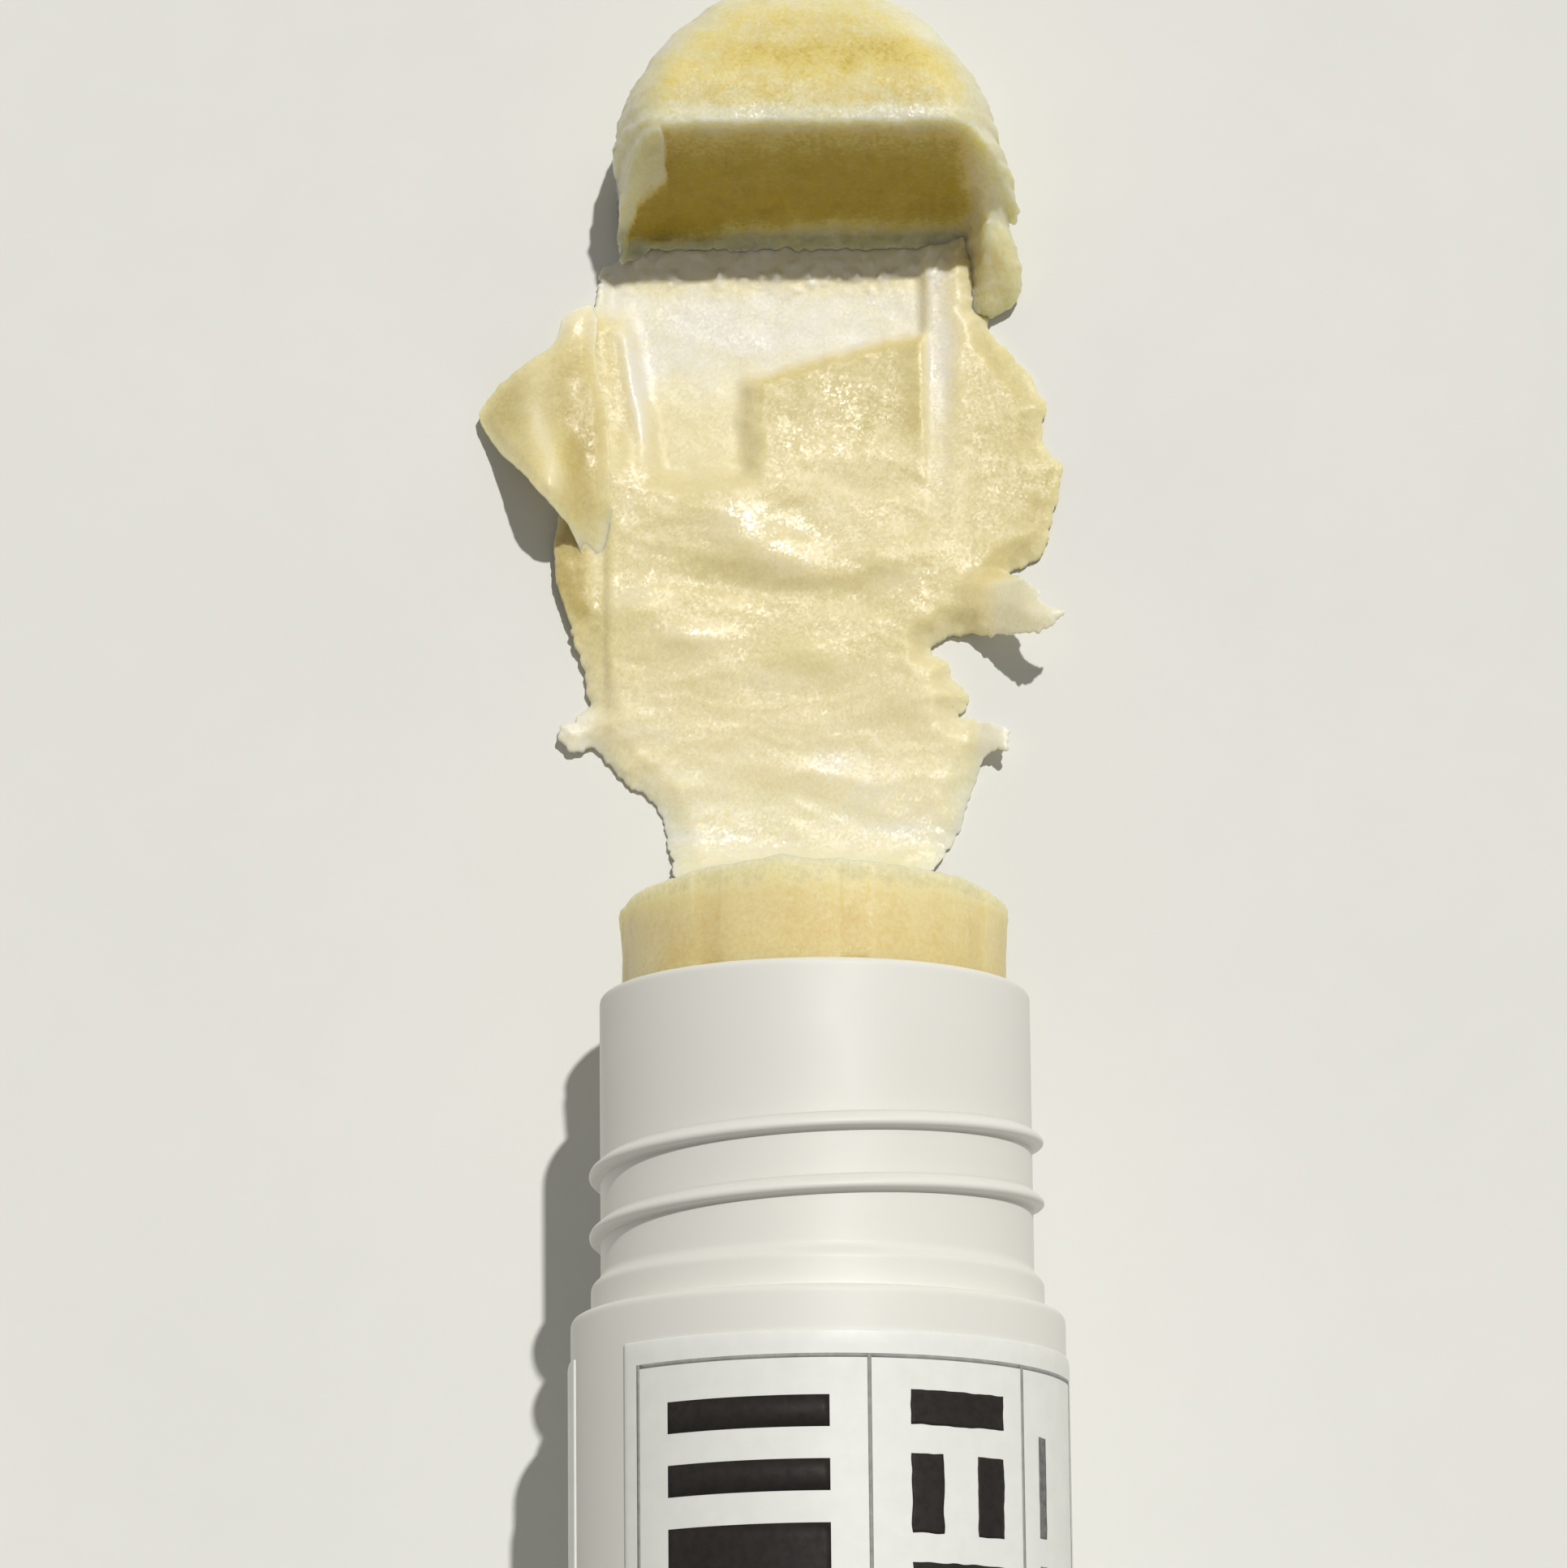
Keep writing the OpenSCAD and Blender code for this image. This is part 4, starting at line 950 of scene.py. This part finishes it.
def nose_tone(x, y, away):
    side = smooth(-0.1, 0.08, y - leg_front(x) + 0.12 * fbm(x, y, 0.6, 3, 96))
    left = np.maximum(smooth(NOTCH_LEFT - 0.05, NOTCH_LEFT + 0.07, x + 0.08 * fbm(x, y, 0.5, 3, 99)), 1 - side)
    across = left * smooth(NOTCH_RIGHT + 0.15, NOTCH_RIGHT - 1.0, x + 0.35 * fbm(x, y, 0.8, 4, 90))
    # Where the painted shade of the wall goes: the notch wall and the front of the left leg below its edge.
    on_wall = smooth(WALL_TOP + 0.05, WALL_TOP - 0.25, y + 0.12 * fbm(x, y, 0.7, 3, 55)) * across
    dome = 0.46 + 0.20 * bump(x, 0.7, 3.3) * bump(y, 95.5, 0.8)
    dome = dome - 0.30 * smooth(2.0, 0.1, away + 0.3 * fbm(x, y, 1.0, 4, 83))
    dome = dome + 0.20 * fbm(x, y * 1.5, 1.3, 5, 93)
    ledge = smooth(93.9, 93.45, y + 0.25 * fbm(x, y, 0.8, 4, 94))
    dome = mix(dome, 0.17 + 0.12 * fbm(x, y, 0.7, 3, 87), ledge)
    legs = 0.18 + 0.16 * fbm(x, y, 0.8, 4, 82) + 0.14 * smooth(91.0, 89.5, y)
    value = mix(dome, legs, smooth(93.0, 92.4, y))
    # Painted shade: the wall takes the deep end of the ramp, and it is paler near its top as painted light glowing
    # through the edge.
    depth = WALL_TOP - y + 0.1 * fbm(x, y, 1.1, 3, 89)
    wall = 0.34 + 0.34 * smooth(-0.15, 0.35, depth) + 0.32 * smooth(0.2, 1.0, depth)
    foot = y + 0.12 * fbm(x, y, 0.9, 4, 95) + 0.3 * smooth(-1.5, -5.0, x)
    wall = wall + 0.10 * fbm(x, y * 2, 1.4, 4, 88) - 0.62 * smooth(91.6, 91.1, foot) - 0.15 * smooth(-4.9, -6.2, x)
    return mix(value, wall, on_wall)


def nose_ragged(x, y):
    right = smooth(5.5, 7.0, x) * smooth(96, 93.5, y) * smooth(90.3, 91, y)
    left = smooth(-5.5, -6.5, x) * smooth(95.5, 93.5, y)
    return 0.07 + 0.17 * right + 0.05 * left + 0.10 * smooth(91.3, 91.1, y) * smooth(4.8, 4.2, x)


def nose_sheen(x, y):
    spots = bump(y, 93.35, 0.25) * (bump(x, 2.9, 1.3) + 0.7 * bump(x, -2.0, 1.0))
    spots = spots + bump(x, 4.6, 1.0) * bump(y, 96.6, 0.7)
    spots = spots + 0.7 * bump(x, -4.6, 0.5) * bump(y, 96.6, 0.5) + 0.8 * bump(x, 6.4, 0.5) * bump(y, 91.0, 1.0)
    total = (0.3 * smooth(0.05, 0.5, fbm(x, y, 0.9, 4, 80)) + spots) * (1.0 + 0.8 * fbm(x, y, 0.5, 4, 81))
    return total * smooth(92.9, 93.2, y + 2.0 * smooth(5.5, 6.2, x))


def nose_warp(pts):
    """Roughens the sides at every height, so that the ragged edge isn't drawn straight down."""
    x, y, z = pts.T
    free = smooth(GROUND + 0.1, GROUND + 0.9, z)
    across = 0.13 * fbm(z + 0.4 * x, y + 40, 1.1, 4, 54) + 0.05 * fbm(z - 0.3 * x, y, 0.35, 2, 50)
    along = 0.11 * fbm(z - 0.5 * y, x + 70, 1.1, 4, 53) + 0.05 * fbm(z + 0.3 * y, x, 0.35, 2, 49)
    return np.column_stack([x + across * free, y + np.minimum(along * free, 99.12 - y), z])


def wall_points():
    """Extra points where the notch's walls are steep."""
    xs = np.arange(-6.4, 7.4, 0.1)
    rows = [np.column_stack([xs, np.full(len(xs), y)]) for y in np.arange(90.8, 93.55, 0.075)]
    return np.concatenate(rows)


barrel = make_barrel()
label = make_label()
printed = make_print()
dial = make_dial()
stub = make_stub()
sheet = plan_piece("crushed_sheet", SHEET, 0.14, (sheet_top, sheet_bottom, sheet_tone, sheet_sheen),
                   [balm_crushed, balm_film], (0.04, 0.1, 0.18, 0.3), sheet_ragged, 11,
                   kind=lambda x, y: film_share(x, y) > 0.6)
flap = plan_piece("crushed_flap", FLAP, 0.12, (flap_top, flap_bottom, flap_tone, flap_sheen),
                  [balm_crushed], (0.03, 0.08, 0.16, 0.28), 0.06, 13)
nose = plan_piece("crushed_nose", NOSE, 0.15, (nose_top, nose_bottom, nose_tone, nose_sheen),
                  [balm_thick], (0.015, 0.05, 0.1, 0.18, 0.3, 0.45), nose_ragged, 17,
                  closest=wall_points, warp=nose_warp)

for piece, node, body, slot in (
        (barrel, "barrel", "root", "white_plastic"), (label, "label", "root", "label_paper"),
        (printed, "label_print", "root", "label_ink"), (dial, "dial_screw", "dial", "dial_plastic"),
        (stub, "balm_stub", "carriage", "balm"), (sheet, "balm_smear", "root", "balm"),
        (flap, "balm_smear", "root", "balm"), (nose, "balm_nose", "root", "balm")):
    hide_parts(node)
    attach(piece, body)

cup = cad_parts["elevator"]
cup.data.materials.clear()
cup.data.materials.append(white)


# Floor, light and camera

def make_floor():
    size, n = 1.6, Nodes("pale_floor")
    n.mottle(60, 5, (0.745, 0.745, 0.715), (0.765, 0.762, 0.73))
    n.matte(500, 2, 0.8, 0.92)
    n.relief([(n.noise(1800, 3), 0.12, 0.02)])
    mesh = bpy.data.meshes.new("floor")
    z = GROUND * MM
    mesh.from_pydata([(-size, -size, z), (size, -size, z), (size, size, z), (-size, size, z)], [], [(0, 1, 2, 3)])
    mesh.materials.append(n.material)
    obj = bpy.data.objects.new("floor", mesh)
    bpy.context.scene.collection.objects.link(obj)


def make_light():
    """One sun, and a world that lights dimly but looks pale to the camera and in reflections."""
    light, seen_as = 0.225, 0.78
    lamp = bpy.data.lights.new("key", "SUN")
    lamp.energy, lamp.angle = 2.68, math.radians(1.4)
    lamp.color = (1.0, 0.985, 0.955)
    obj = bpy.data.objects.new("key", lamp)
    obj.rotation_euler = Vector((0.24, 0.47, 1.0)).to_track_quat("Z", "Y").to_euler()
    bpy.context.scene.collection.objects.link(obj)
    world = bpy.data.worlds.new("studio")
    bpy.context.scene.world = world
    world.use_nodes = True
    tree = world.node_tree
    back = tree.nodes["Background"]
    path = tree.nodes.new("ShaderNodeLightPath")
    seen = path.outputs["Is Camera Ray"]
    for ray in ("Is Glossy Ray", "Is Transmission Ray"):
        either = tree.nodes.new("ShaderNodeMath")
        either.operation = "MAXIMUM"
        tree.links.new(seen, either.inputs[0])
        tree.links.new(path.outputs[ray], either.inputs[1])
        seen = either.outputs[0]
    mix = tree.nodes.new("ShaderNodeMapRange")
    mix.inputs["To Min"].default_value = light
    mix.inputs["To Max"].default_value = seen_as
    tree.links.new(seen, mix.inputs["Value"])
    tree.links.new(mix.outputs["Result"], back.inputs["Strength"])
    back.inputs["Color"].default_value = (1.0, 0.995, 0.965, 1)


def make_camera():
    width, height, focal = 1931, 1932, 9000.0
    lean, roll = math.radians(77.3), math.radians(0.58)
    at = Vector((-0.940, 17.277, 234.252)) * MM
    forward = Vector((0, math.cos(lean), -math.sin(lean)))
    up0, right0 = Vector((0, math.sin(lean), math.cos(lean))), Vector((1, 0, 0))
    up = up0 * math.cos(roll) + right0 * math.sin(roll)
    right = right0 * math.cos(roll) - up0 * math.sin(roll)
    data = bpy.data.cameras.new("camera")
    data.sensor_width = 36.0
    data.lens = 36.0 * focal / max(width, height)
    data.clip_start, data.clip_end = 0.01, 20.0
    obj = bpy.data.objects.new("camera", data)
    obj.matrix_world = Matrix(((right.x, up.x, -forward.x, at.x), (right.y, up.y, -forward.y, at.y),
                               (right.z, up.z, -forward.z, at.z), (0, 0, 0, 1)))
    bpy.context.scene.collection.objects.link(obj)
    bpy.context.scene.camera = obj


make_floor()
make_light()
make_camera()
bpy.context.scene.view_settings.view_transform = "Standard"

bpy.context.view_layer.update()
